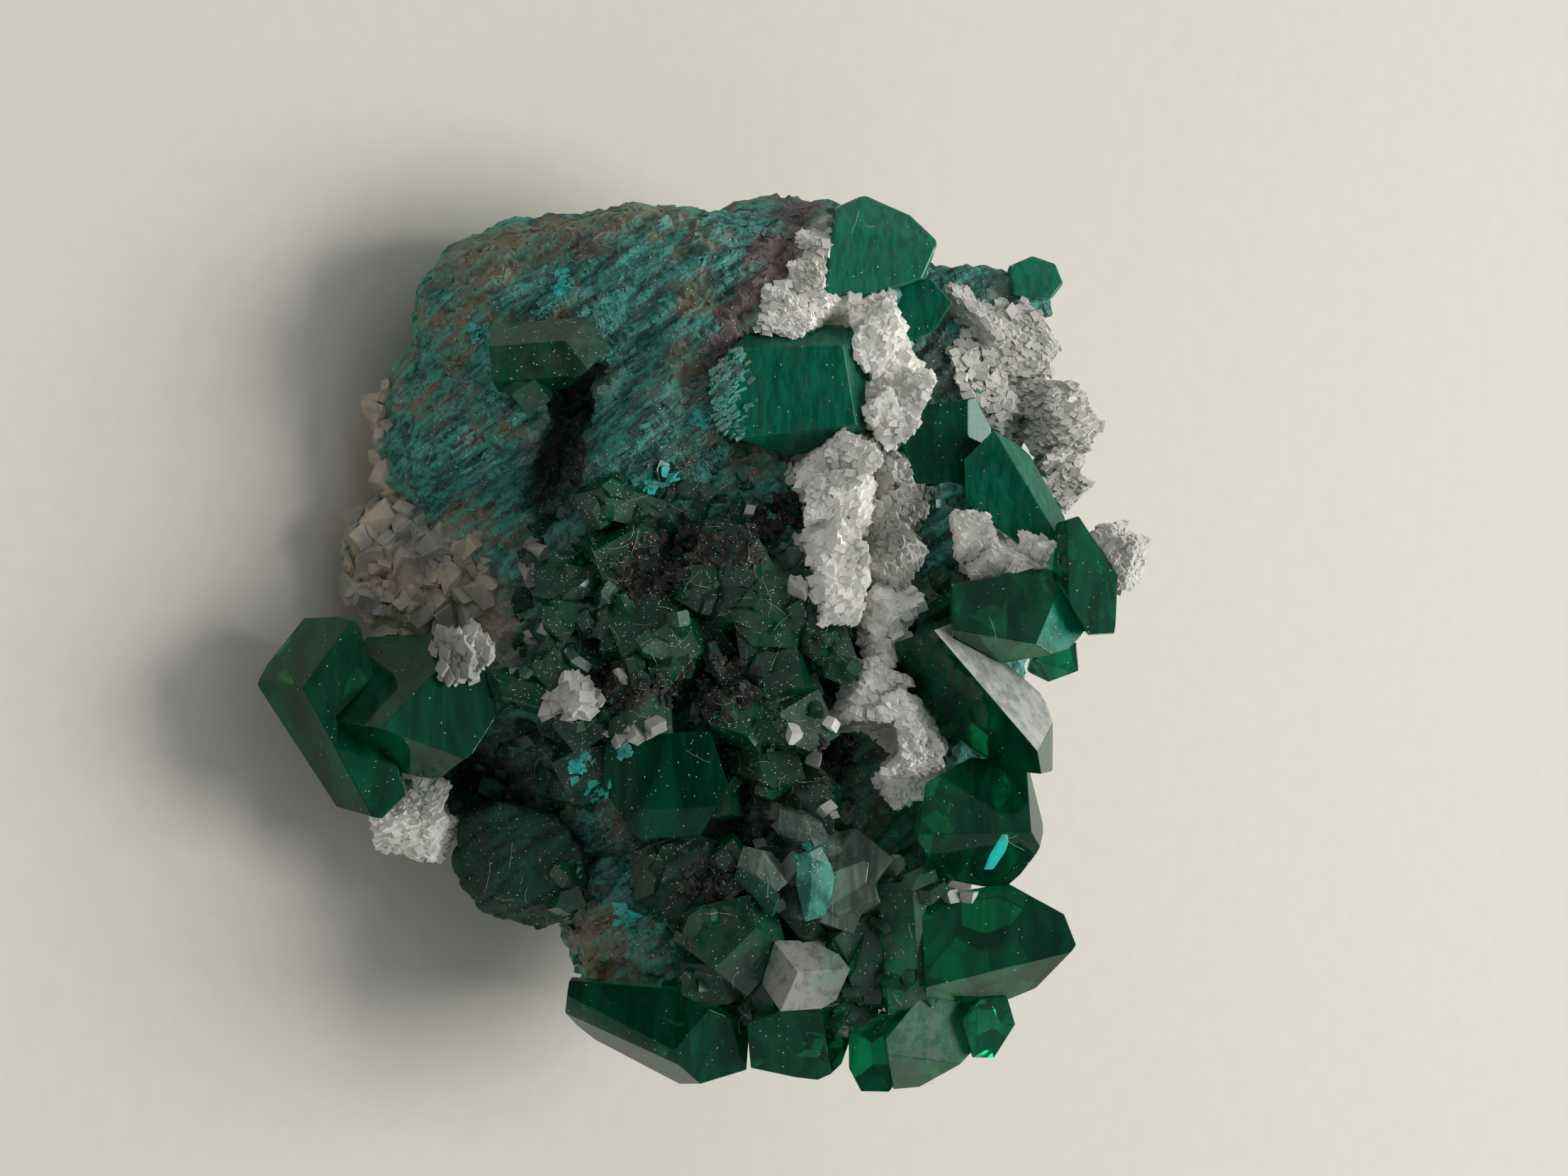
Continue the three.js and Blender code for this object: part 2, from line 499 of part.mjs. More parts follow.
// Crystals on a jittered triangular lattice that lean outward from the middle of an ellipse.
function filling(patch, seed) {
  const random = seeded(seed);
  const crystals = [];
  const rowStep = patch.spacing * 0.87;
  const rows = Math.floor(patch.half[1] / rowStep);
  const columns = Math.floor(patch.half[0] / patch.spacing);
  for (let row = -rows; row <= rows; row++) {
    for (let column = -columns; column <= columns; column++) {
      const x = (column + 0.5 * (row & 1) + 0.6 * (random() - 0.5)) * patch.spacing;
      const y = row * rowStep + 0.6 * (random() - 0.5) * patch.spacing;
      const outward = THREE.MathUtils.radToDeg(Math.atan2(y, x));
      const crystal = {
        tip: [patch.at[0] + x, patch.at[1] + y, patch.at[2] + 0.9 * (random() - 0.5)],
        heading: outward + 150 * (random() - 0.5),
        rise: 12 + 50 * random(),
        radius: patch.radius * (0.55 + 0.7 * random()),
        length: 4.4,
        spin: 60 * random(),
      };
      if (Math.hypot(x / patch.half[0], y / patch.half[1]) < 1) {
        crystals.push(crystal);
      }
    }
  }
  return crystals;
}

// A calcite rhomb: a box whose edges lean to the blunt-corner angle.
function rhomb(edge, place) {
  const lean = Math.cos(THREE.MathUtils.degToRad(CALCITE_ANGLE));
  const up = Math.sqrt(1 - lean * lean);
  const side = (lean - lean * lean) / up;
  const height = Math.sqrt(1 - lean * lean - side * side);
  const skew = new THREE.Matrix4().set(1, lean, lean, 0, 0, up, side, 0, 0, 0, height, 0, 0, 0, 0, 1);
  const geometry = new THREE.BoxGeometry(edge.x, edge.y, edge.z);
  geometry.applyMatrix4(skew);
  geometry.applyMatrix4(place);
  return toSolid(geometry);
}

function pointAlong(path, share) {
  const last = path.length - 1;
  const index = Math.min(Math.floor(share * last), last - 1);
  const from = new THREE.Vector3(...path[index]);
  return from.lerp(new THREE.Vector3(...path[index + 1]), share * last - index);
}

function calciteClump(clump, seed, grow) {
  const random = seeded(seed);
  const rhombs = [];
  for (let index = 0; index < clump.count; index++) {
    const at = pointAlong(clump.path, (index + 0.5) / clump.count);
    const drift = new THREE.Vector3(random() - 0.5, random() - 0.5, 0.6 * (random() - 0.5));
    at.add(drift.multiplyScalar(2 * clump.spread));
    const edge = new THREE.Vector3(0.7 + 0.7 * random(), 0.7 + 0.7 * random(), 0.8 + 0.8 * random());
    edge.multiplyScalar(clump.size).addScalar(2 * grow);
    const place = turned(360 * random(), 40 + 100 * random(), 360 * random()).setPosition(at);
    rhombs.push(rhomb(edge, place));
  }
  return joined(rhombs);
}

// Random heights on a lattice, between -1 and 1.
function latticeValue(x, y, z) {
  const mixed = Math.sin(x * 127.1 + y * 311.7 + z * 74.7) * 43758.5453;
  return 2 * (mixed - Math.floor(mixed)) - 1;
}

// The lattice's heights blended smoothly between its corners.
function softNoise(point) {
  const base = point.clone().floor();
  const part = point.clone().sub(base);
  const ease = (value) => value * value * (3 - 2 * value);
  const mix = (from, to, share) => from + (to - from) * share;
  const corner = (i, j, k) => latticeValue(base.x + i, base.y + j, base.z + k);
  const edge = (j, k) => mix(corner(0, j, k), corner(1, j, k), ease(part.x));
  const sheet = (k) => mix(edge(0, k), edge(1, k), ease(part.y));
  return mix(sheet(0), sheet(1), ease(part.z));
}

// Rock breaks in layers, so its surface steps in and out across them.
function ledge(point) {
  const heading = THREE.MathUtils.degToRad(LEDGE_HEADING);
  const across = point.x * Math.cos(heading) + point.y * Math.sin(heading) + 0.35 * point.z;
  const share = across / LEDGE_STEP + 0.6 * softNoise(point.clone().multiplyScalar(0.18));
  return LEDGE_DEPTH * (share - Math.floor(share) - 0.5);
}

function rockLump(lump, grow) {
  const geometry = new THREE.IcosahedronGeometry(1, lump.detail);
  const position = geometry.attributes.position;
  const turn = new THREE.Matrix4().makeRotationZ(THREE.MathUtils.degToRad(lump.turn));
  const centre = new THREE.Vector3(...lump.at);
  const half = new THREE.Vector3(...lump.half);
  const power = (value) => Math.abs(value) ** lump.square;
  for (let index = 0; index < position.count; index++) {
    const out = new THREE.Vector3().fromBufferAttribute(position, index);
    const reach = (power(out.x) + power(out.y) + power(out.z)) ** (-1 / lump.square);
    const point = out.clone().multiplyScalar(reach).multiply(half).applyMatrix4(turn).add(centre);
    const bump = softNoise(point.clone().divideScalar(RIPPLE_WIDTH));
    const grit = 0.4 * softNoise(point.clone().divideScalar(0.4 * RIPPLE_WIDTH));
    const swell = lump.rough * (RIPPLE * (bump + grit) + ledge(point)) + grow;
    point.addScaledVector(out.applyMatrix4(turn), swell);
    position.setXYZ(index, point.x, point.y, point.z);
  }
  return toSolid(geometry);
}

function rockMass(grow) {
  let mass = joined(BACK_LUMPS.map((lump) => rockLump(lump, grow)));
  for (const plane of BREAKS) {
    const across = THREE.MathUtils.degToRad(plane.heading);
    const above = THREE.MathUtils.degToRad(plane.tilt);
    const normal = new THREE.Vector3(Math.cos(across), Math.sin(across), 0);
    normal.multiplyScalar(Math.cos(above)).setZ(Math.sin(above));
    const drop = FACE_HEIGHT * normal.z;
    normal.applyAxisAngle(new THREE.Vector3(1, 0, 0), -lean);
    mass = cutBack(mass, normal, plane.reach - drop + grow);
  }
  mass = mass.add(joined(FRONT_LUMPS.map((lump) => rockLump(lump, grow))));
  return mass.subtract(joined(HOLLOWS.map((hollow) => rockLump(hollow, -grow))));
}

// The largest single body of a solid that a cut may have split.
function wholeBody(solid) {
  const bodies = solid.decompose();
  return bodies.sort((one, other) => other.volume() - one.volume())[0];
}

// Each piece keeps its own space: it is cut back from the grown shapes of those placed before it.
const placed = [];

function seat(name, plain, grown, finish) {
  let solid = plain;
  for (const earlier of placed) {
    solid = solid.subtract(earlier.grown);
  }
  placed.push({ name, solid: wholeBody(solid), grown, finish });
}

function seatCrystals(name, crystals, seed) {
  seat(name, crystalGroup(crystals, seed, 0), crystalGroup(crystals, seed, SEAT_GAP), GREEN);
}

Object.entries(MAIN_CRYSTALS).forEach(([name, crystal]) => {
  seat(name, facetted(crystal, 0), facetted(crystal, SEAT_GAP), GREEN);
});

// The rock is seated round the main crystals and ends in a flat broken base to rest on.
const down = new THREE.Vector3(0, -Math.sin(lean), -Math.cos(lean));
seat("teal_crusted_rock", cutBack(rockMass(0), down, FACE_HEIGHT), rockMass(SEAT_GAP), TEAL);

Object.entries(CROWDED_CRYSTALS).forEach(([name, crystals], index) => {
  const extra = name in FILLINGS ? filling(FILLINGS[name], index + 1) : [];
  seatCrystals(name, crystals.concat(extra), index + 51);
});
seatCrystals("hollow_crystals", HOLLOW_CRYSTALS, 81);
Object.entries(CALCITES).forEach(([name, clump], index) => {
  seat(name, calciteClump(clump, index + 1, 0), calciteClump(clump, index + 1, SEAT_GAP), WHITE);
});

const face = new THREE.Group();
face.name = "face";
face.rotation.x = lean;
face.position.z = FACE_HEIGHT;
for (const piece of placed) {
  face.add(toMesh(piece.name, piece.solid, piece.finish));
}

const group = new THREE.Group();
group.name = "dioptase_specimen";
group.add(face);

// The origin is the middle of the resting plane under the whole specimen.
group.updateMatrixWorld(true);
const middle = new THREE.Box3().setFromObject(group, true).getCenter(new THREE.Vector3());
face.position.x -= middle.x;
face.position.y -= middle.y;

export default group;
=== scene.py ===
"""Looks of the dioptase specimen: emerald crystals and white calcite on a teal-crusted rock."""

import json
import math
from random import Random

import bmesh
import bpy
import numpy as np
from bpy.props import FloatProperty, FloatVectorProperty, IntProperty, PointerProperty
from bpy.types import Operator, Panel, PropertyGroup
from mathutils import Matrix, Vector, noise
from mathutils.bvhtree import BVHTree

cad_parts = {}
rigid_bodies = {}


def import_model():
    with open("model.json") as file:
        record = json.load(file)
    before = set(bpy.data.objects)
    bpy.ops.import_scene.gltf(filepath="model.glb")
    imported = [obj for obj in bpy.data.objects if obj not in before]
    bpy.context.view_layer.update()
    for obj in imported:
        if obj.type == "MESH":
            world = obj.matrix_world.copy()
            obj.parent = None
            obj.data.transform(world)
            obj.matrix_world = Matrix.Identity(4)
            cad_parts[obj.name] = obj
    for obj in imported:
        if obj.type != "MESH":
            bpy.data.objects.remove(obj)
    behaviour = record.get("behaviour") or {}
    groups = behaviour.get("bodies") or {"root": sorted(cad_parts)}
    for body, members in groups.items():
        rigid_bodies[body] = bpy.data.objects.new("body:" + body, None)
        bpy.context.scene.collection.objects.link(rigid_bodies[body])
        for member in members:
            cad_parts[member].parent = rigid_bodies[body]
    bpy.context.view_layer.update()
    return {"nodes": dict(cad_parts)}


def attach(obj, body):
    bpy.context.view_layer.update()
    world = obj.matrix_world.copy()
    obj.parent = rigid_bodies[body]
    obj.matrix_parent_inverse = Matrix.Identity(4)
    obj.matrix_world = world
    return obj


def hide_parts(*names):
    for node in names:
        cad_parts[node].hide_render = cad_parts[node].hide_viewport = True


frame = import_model()

bl_info = {
    "name": "Dioptase specimen",
    "version": (1, 0, 0),
    "blender": (4, 5, 0),
    "location": "View3D > Sidebar > Specimen",
    "description": "Dresses the packed dioptase specimen and sets its stage",
    "category": "Object",
}

MM = 0.001

# The crystal-covered face: its lean from level and its middle, as the CAD places it.
FACE_LEAN = math.radians(30)
FACE_CENTRE = Vector((0.054, -1.572, 14.16)) * MM
FACE_X = Vector((1, 0, 0))
FACE_Y = Vector((0, math.cos(FACE_LEAN), math.sin(FACE_LEAN)))
FACE_Z = Vector((0, -math.sin(FACE_LEAN), math.cos(FACE_LEAN)))
RAY_START = 9  # millimetres above the face from which small things are dropped on it

RIM_HEIGHT = 1.2 * MM  # nothing small lies on the rock below this height
RELIEF_FADE = 1.2 * MM  # height over which the crust's relief fades to the flat resting face
FULL_TURN = 6.3  # radians, for random spins

MERGE_DISTANCE = 2e-6
CUT_DISTANCE = 1e-7
FLAT_EDGE = math.radians(1)  # edges flatter than this are dissolved
SHARP_EDGE = math.radians(12)  # edges sharper than this are worn
CORNER_GROWTH = 2.0  # most that a corner grows, as a multiple of what its faces grow
DOME_RELIEF = 0.5  # relief of the dome, as a share of the rock's
CALCITE_GROWTH = 0.1 * MM  # how far a calcite solid grows before it is coated
FILM_LIFT = 0.01 * MM  # how far a film stands off its facet
FILM_REACH = 0.97  # least cosine between a facet's normal and the way given for its film
FILM_DEPTH = 0.55  # share of a film's colour in its darker parts
CLUMP_LEAN = 0.55  # how far the direction that a clump's rhombs share strays from the face's normal
RHOMB_LEAN = 0.32  # how far each rhomb strays from that direction
CROWD_SHARE = 0.5  # share of the small crystals that grow where the ground is a crowd itself
DIOPTASE_IOR = 1.66
STONE_IOR = 1.5
GRAIN_IOR = 1.55
END_FACE_TILT = math.radians(51)
CALCITE_ANGLE = math.radians(102)
FIBRE_TURN = math.radians(124)  # heading of the rock's fibres within the face

ROCK = "teal_crusted_rock"
DOME = "green_dome"
CLOUDY_NODES = (
    "left_embedded_crystal", "left_green_block", "left_small_block", "column_tip_crystal",
    "upper_left_prism",
)
CROWDED_NODES = ("centre_crystals", "right_crystals", "hollow_crystals")
ROUND_NODES = ("left_green_block", "left_small_block", "column_tip_crystal")
# Looks of the green crystals. The body is a colour, the film and the specks are shares of dust, the
# density is that of the absorption, the polish is the roughness of a clean face, the streak is the
# strength of the veils, the grain is their scale and the sheen is the strength of the reflection.
EMERALD_LOOKS = {
    "emerald": {
        "body": "emerald", "film": 0.08, "specks": 0.06, "transmission": 0.86, "density": 360,
        "polish": 0.05, "streak": 0.5, "grain": 0.7, "sheen": 0.1,
    },
    "dusty_emerald": {
        "body": "emerald_dark", "film": 0.54, "specks": 0.35, "transmission": 0.76, "density": 420,
        "polish": 0.24, "streak": 0.4, "grain": 0.8, "sheen": 0.45,
    },
    "cloudy_emerald": {
        "body": "cloudy", "film": 0.14, "specks": 0.1, "transmission": 0.62, "density": 340,
        "polish": 0.2, "streak": 0.32, "grain": 3.4, "sheen": 0.2,
    },
    "pale_emerald": {
        "body": "pale_green", "film": 0.3, "specks": 0.15, "transmission": 0.55, "density": 200,
        "polish": 0.15, "streak": 0.45, "grain": 1.2, "sheen": 0.6,
    },
}
CRYSTAL_LOOKS = {
    CLOUDY_NODES: "cloudy_emerald",
    ("pale_cluster",): "pale_emerald",
    CROWDED_NODES: "dusty_emerald",
    ("right_grey_crystal",): "dusty_emerald",
}
# Looks of the calcite: its lighter and darker colour, the colour of its stains and their strength.
CALCITE_LOOKS = {
    "calcite": ("calcite", "calcite_shade", "brown", 0.14),
    # A darker copy of the white calcite, painted for the shade that the back clumps lie in.
    "dim_calcite": ("calcite_shade", "calcite_dull", "brown", 0.2),
    "grey_calcite": ("calcite_dull", "calcite_grey", "brown", 0.14),
    "stained_calcite": ("calcite_grey", "pale_green", "grit", 0.7),
}
CLUMP_LOOKS = {
    ("calcite_grey_clumps", "calcite_on_twin", "calcite_small"): "grey_calcite",
    # The clumps at the back take the darker copy of the calcite: painted shade.
    ("calcite_back_mass", "calcite_upper_back", "calcite_behind_peak"): "dim_calcite",
    ("calcite_single",): "stained_calcite",
}
SOLID_KINDS = ("rock", "crystal", "crowd", "calcite")  # kinds of pieces that carry small things

# Outlines on the face are millimetres: x to the right and y up, as the face is seen standing.
CALCITE_CRUST = {
    "calcite_vein": [
        (-18.9, 6), (-16.8, 5.8), (-15.6, 6.4), (-14.6, 5.3), (-13.7, 2.3), (-15.4, 3.1), (-16.8, 4.2),
    ],
    "calcite_upper_left": [
        (-16, 6.6), (-14.2, 7.7), (-12, 8.2), (-10.2, 8), (-8.9, 7.5), (-9.4, 9.6), (-10.2, 11.3),
        (-11.2, 9.3), (-12.4, 8.9), (-13, 9.5), (-14.4, 9.4), (-15.6, 8.4),
    ],
    "calcite_bright_strip": [
        (-9.3, 7.2), (-9, 4.6), (-7.6, 3.9), (-6.2, 4.6), (-4.4, 5), (-2, 5), (-1.3, 5.7), (-1.6, 7),
        (-4.2, 7.2), (-6.2, 7.3),
    ],
    "calcite_grey_clumps": [
        (-8.2, 7.5), (-8.2, 10), (-7, 10.6), (-5.2, 10.2), (-3.4, 10), (-2.6, 8.8), (-3.2, 7.4), (-6, 7.2),
    ],
    "calcite_star": [(-2.1, 8.4), (-1.6, 9.4), (-0.4, 9.5), (0.1, 8.6), (0.9, 8.3), (0.7, 7.8), (-1, 7.7)],
    "calcite_centre": [
        (2, 7.6), (2.4, 6.6), (4, 5.8), (4.2, 6.7), (4.1, 7.4), (4.9, 8.7), (6.4, 9.3), (6.6, 10.3),
        (5, 10.6), (4.2, 10), (3, 9.4), (2.2, 8.6),
    ],
    "calcite_upright": [
        (-5.4, 11.9), (-4.9, 13.4), (-4.6, 15), (-4, 16.4), (-3, 16.2), (-2.8, 15), (-2.6, 13.4),
        (-3.4, 11.8),
    ],
    "calcite_back_mass": [
        (-15.6, 13), (-15.4, 16.6), (-13.6, 16.8), (-12.2, 15.6), (-11, 15.8), (-10.4, 17), (-9, 16),
        (-9.6, 14), (-11.4, 12.2), (-13.4, 11.6),
    ],
    "calcite_upper_back": [(-9.6, 15.6), (-8.6, 16.8), (-7, 17.4), (-5.8, 16.9), (-6.2, 16.2), (-8.4, 15.2)],
    "calcite_behind_peak": [(-4.5, 18.2), (-4.1, 19.8), (-2.6, 19.9), (-2.4, 18.9), (-3.4, 18.2)],
    "calcite_lower_right": [(7.4, -13.4), (7.8, -15.2), (9.6, -15.3), (9.9, -13), (9.4, -11.4), (8, -11.6)],
    "calcite_on_twin": [(0, -10.8), (0.6, -12.6), (1.3, -12.4), (1.9, -10.4), (1, -10)],
    "calcite_small": [(2, -5), (2.6, -5), (3.6, -6), (3.2, -7.4), (2.6, -7.2), (2.4, -6)],
    "calcite_single": [],
}
# Clumps whose rhombs are larger or smaller than the usual size, and by how much.
CALCITE_COARSE = {"calcite_vein": 0.7, "calcite_small": 1.8, "calcite_on_twin": 1.5, "calcite_star": 1.5}
# Small rhombs on the crowded middle: where each lies and its edge length.
SMALL_RHOMBS = [
    (-2.4, 4.5, 0.9), (4.2, 4.3, 0.8), (5.5, 5.2, 0.8), (8, 3.5, 1.2), (8.6, 3.9, 0.9), (3.3, -0.2, 0.7),
    (3.8, -1.9, 0.8), (4.2, -2.8, 0.7), (4.4, -3.5, 0.7), (4.5, -4.2, 0.6), (1.5, -3.5, 0.6), (0, -7.8, 0.7),
    (-0.5, -6.9, 0.8), (-4, -7.4, 0.9), (-3.1, -7.8, 1), (-5.9, 2.3, 0.5), (10.4, 8.8, 0.9), (7.6, 5.8, 0.7),
    (11.2, 11.9, 1.1), (11.6, 11.4, 0.8),
]
# Where coarse beige grains lie, where the slab has its flakes and where the small teal zone is.
BEIGE_GRAINS = [
    (-12.6, -14.4), (-11, -16), (-7, -16.8), (-2.5, -16.4), (0, -14.5), (-0.5, -11), (-2.6, -9.4),
    (-4.4, -10), (-5.4, -13), (-8, -15), (-11, -14.4),
]
SLAB = [
    (-20.2, -2), (-19, -10), (-14, -13.4), (-8, -14.4), (-5.8, -14), (-5.4, -9.6), (-7, -3), (-8, 0.5),
    (-13, 0.5), (-17, 4), (-20, 5),
]
TEAL_ZONE = [(8.6, -2.6), (8.2, -5.6), (11.4, -6.4), (14.8, -5.6), (15.2, -3), (12.6, -1.8)]
# Where the crust creeps over the embedded crystal, thinning out across the face.
CREEP = [(-13.8, 1.2), (-12.6, 2.8), (-10.6, 4), (-8.6, 3.2), (-8, 0), (-9.6, -0.6), (-13, -0.2)]
CREEP_FROM = 1.1
CREEP_TO = 2.4
# Turquoise grains: the middle of each cluster and its reach.
TURQUOISE_SPOTS = [
    (4.9, -3.3, 0.35), (5.6, -5.2, 0.7), (6.9, -4.6, 0.45), (-6.9, -2.2, 0.35), (9.6, 4.9, 0.4),
    (-14.2, -10.2, 0.5), (-16.4, -6.2, 0.5), (-7.4, -1.4, 0.4), (12.6, -3.4, 0.5), (-10.3, 0.1, 0.5),
]
# Crowds of small crystals: outline, spacing and the usual distance from axis to prism face.
DRUSE_PATCHES = [
    ([(-7.5, -5.6), (-5, -8.2), (0, -8.8), (5, -8.6), (8.5, -6), (9, 0), (8, 6), (3, 7.4), (-3, 6.2), (-7, 4),
      (-8.4, 0)], 0.95, 0.5),
    ([(8.5, -6), (13, -6.6), (17, -5.4), (18.4, 0), (18.4, 6), (17, 10), (12, 9.6), (8.5, 8)], 1.05, 0.55),
    ([(-10, 10.5), (-3, 9.8), (2, 9), (9, 9.4), (15, 9.8), (16.4, 11), (12, 12), (5, 11), (-3, 12),
      (-10, 13)], 1.0, 0.45),
    ([(1.4, -9.4), (7.4, -8.6), (8, -11.6), (5.4, -12.4)], 1.0, 0.45),
]
# Dark gritty coating between the small crystals.
GRIT_PATCHES = [
    [(-2.9, -3.8), (-4.7, -2.7), (-5, -0.2), (-4.8, 2.4), (-4.2, 3.2), (-3.4, 3.1), (-3.5, 2), (-3.4, -0.2),
     (-2.3, -0.8), (-1.7, -2.7)],
    [(-5, 2), (-6.1, 2.7), (-6.7, 4.1), (-6.1, 5), (-5.2, 4.7), (-4.5, 3)],
    [(1.9, -2.1), (1.2, -0.2), (0.5, 1.4), (1.3, 2.8), (2.7, 2.7), (3.5, 1.2), (3.2, -0.8), (2.7, -1.9)],
    [(1.2, -5.1), (0.9, -3.8), (1.9, -2.4), (2.9, -2.2), (3.1, -3.8), (2.7, -4.9)],
    [(4.5, 5.2), (4, 6.2), (4.8, 7.4), (6.1, 6.8), (6.6, 5.9), (5.8, 5.2)],
    [(10.8, -1.1), (9.9, -0.2), (10.2, 1.9), (11.3, 1.9), (11.8, 0.2), (11.6, -1.1)],
]
# Small crystals wedged in gaps between larger ones: place of the tip and size.
GAP_CRYSTALS = [(16.5, 8.2, -1.4, 0.6)]
# Small pale crystals on the pale cluster: their ground, its middle, their spacing and their size.
PALE_PATCH = [(7.4, 2.4), (9.6, 1.8), (12.4, 3), (12.8, 6.6), (10.6, 8.6), (8, 8), (7.2, 5)]
PALE_MIDDLE = (9.8, 5)
PALE_SPACING = 1.1
PALE_RADIUS = 0.85
# Where dust and lint lie: anywhere on the face, and more on its middle. The reach is the face's box.
WHOLE_FACE = [
    (-20, -6), (-14, -14), (-8, -16.5), (2, -19.5), (8, -15), (13, -10), (18.5, -5), (20.4, 5), (19, 12.5),
    (14, 16.8), (4, 16.4), (-3, 19), (-6, 16.6), (-11, 16.6), (-17, 16), (-20.4, 8),
]
LINT_PATCH = [(-9, -7), (-2, -9), (7, -8), (11, -2), (11, 6), (5, 9), (-3, 9), (-8, 6), (-10, 0)]
FACE_REACH = ((-20.5, 20.5), (-20, 19.5))
# Share of the specks and fibres that stay where they fall on a kind of piece, if it isn't all of them.
SPECK_SHARE = {"calcite": 0.15, "crystal": 0.2}
FIBRE_SHARE = {"crystal": 0.12}
# Share of them that lies on the middle.
SPECK_MIDDLE = 0.6
FIBRE_MIDDLE = 0.8
SPECK_FACING = 0.25  # least cosine between the face's normal and that of ground that holds specks
FIBRE_KNOTS = 14
FIBRE_LIFT = 0.03  # millimetres between a fibre and its ground, at least
FIBRE_SWAY = 0.05  # millimetres that a knot may stand higher
FIBRE_GAP = 4  # longest stretch of a fibre, as a multiple of its step on the face
# Spacing in millimetres of what is sown on the rock.
FLAKE_SPACING = 0.36
CREEP_SPACING = 0.18
GRIT_SPACING = 0.27
BEIGE_SPACING = 0.6
SEEDS = {
    "calcite": 100, "rhombs": 40, "druse": 7, "flakes": 11, "turquoise": 12, "beige": 13, "plane": 14,
    "grit": 15, "specks": 21, "lint": 22,
}

# The stage, in metres.
FLOOR_SIZE = 1.5
SKY_TINT = (0.97, 0.98, 1, 1)
WINDOW_TINT = (1, 0.985, 0.95)
WINDOW_SIZE = (0.52, 0.6)
WINDOW_PLACE = Vector((0.028, 0.82, 0.74))
WINDOW_AIM = Vector((0, 0, 0.01))
VIEWER_SHADE = 0.16  # share of the fill that comes from where the viewer stands
SENSOR_WIDTH = 36  # millimetres
CLIP = (0.005, 10)  # nearest and farthest that the camera sees
PICTURE_MIDDLE = (-2.384, 3.872, 0)  # on the face

# Patches of colour on the rock: middle, half sizes, turn in degrees, softness and strength.
ROCK_PATCHES = {
    "brown": [
        ((-17.4, -10, -4), (1.8, 1.8, 4), 20, 0.6, 0.9),
        ((-18.6, -6.2, -4), (1.1, 3, 4), 8, 0.6, 0.85),
        ((-19.6, -2.6, -5), (0.7, 2.2, 4), 0, 0.6, 0.8),
        ((-14.9, 1, -3), (0.6, 1.5, 3), -28, 0.6, 0.75),
        ((-12.4, -0.6, -3), (1.8, 0.8, 3), 30, 0.7, 0.7),
        ((-10.4, -0.4, -3), (1.2, 0.6, 3), 30, 0.7, 0.6),
        ((13.4, -5.4, -4), (1.6, 1, 3), 0, 0.6, 0.7),
    ],
    "purple": [((-15.7, 2.4, -3.4), (5, 0.95, 4), -29, 0.35, 1), ((-20, 4.6, -5), (0.5, 2, 4), 0, 0.5, 0.9),
               ((-18.4, -4.8, -4), (0.7, 1.2, 4), 0, 0.6, 0.8)],
    "pale": [
        ((-16.3, 4.7, -3.4), (3, 1.3, 4), -26, 0.4, 1),
        ((-15, 6.6, -4), (1.2, 1.6, 4), -20, 0.4, 0.9),
    ],
    "rust": [((13.2, -4.2, -3), (0.8, 0.4, 3), 30, 0.6, 0.6), ((15.4, -4.1, -3), (0.5, 0.4, 3), 0, 0.6, 0.8)],
    "beige": [((-1.2, -12.8, -7), (4.2, 5, 6), -8, 0.25, 1), ((-9, -16.6, -7), (5, 1.7, 6), 0, 0.3, 1)],
    # The black patches are painted shade in the hollow, the holes and the dark recesses of the rock.
    "black": [
        ((-9.4, -6.2, -6), (4.4, 2, 6), -6, 0.5, 0.8),
        ((6.6, -9.8, -6), (2.5, 3, 6), 0, 0.5, 0.95),
        ((-15.6, 14.3, -7), (0.9, 0.6, 4), 0, 0.6, 1),
        ((-3.4, -1.2, -3), (2.2, 2.2, 4), 0, 0.6, 0.7),
        ((-12.2, 11.2, -7), (2.4, 1.8, 4), 0, 0.6, 0.8),
    ],
    "green": [
        ((3, 1, -4), (9.5, 9, 6), 0, 0.4, 0.85),
        ((14, 4.6, -5), (7, 7, 6), 0, 0.4, 0.7),
        ((-8.4, 0.4, -4), (2.6, 2.6, 4), 0, 0.6, 0.6),
        ((6.2, -7, -4), (2.4, 2.2, 5), 0, 0.5, 0.9),
    ],
}

# Films over single facets. The long prism's facet is etched and frosted, and its light grey is also a painted
# reflection of the window; the summit's bright teal is a painted glow of light through the facet; the
# crowded crystals' facets are dull with dust. Each: crystal, way the facet looks in the face's frame, colour
# and roughness.
FACET_FILMS = (
    ("long_prism", (-0.585, 0.685, 0.434), "frost", 0.3),
    ("summit_crystal", (-0.18, 0.73, 0.66), "glow", 0.3),
    ("right_crystals", (-0.15, 0.68, 0.72), "dull", 0.8),
    ("centre_crystals", (-0.02, 0.63, 0.78), "dull", 0.8),
)
# Bright planes: name, middle, heading in degrees, sizes in millimetres and two colours. The cyan
# flash's bright colour is a painted reflection from a cleavage plane inside its crystal.
PLANES = [
    ("cyan_flash", 9.55, 13.55, -18, (1.6, 0.62, 0.05), ("flash", "turquoise")),
    ("teal_plane", 10.9, 5.3, 12, (2.7, 1.6, 0.4), ("teal_dark", "plane")),
    ("dull_teal_plane", 11.2, 2.6, 60, (2, 1.6, 0.35), ("teal_dark", "green")),
]


def paint(red, green, blue):
    """A screen colour, 0 to 255, as the linear colour that shaders take."""
    def linear(value):
        share = value / 255
        return share / 12.92 if share <= 0.04045 else ((share + 0.055) / 1.055) ** 2.4
    return (linear(red), linear(green), linear(blue))


def colour_property(name, description, shade):
    return FloatVectorProperty(
        name=name, description=description, subtype="COLOR", default=paint(*shade), min=0, max=1
    )


def length_property(name, description, size):
    return FloatProperty(name=name, description=description, unit="LENGTH", default=size, min=0)


def number_property(name, description, value):
    return FloatProperty(name=name, description=description, default=value, min=0)


def count_property(name, description, value):
    return IntProperty(name=name, description=description, default=value, min=0)


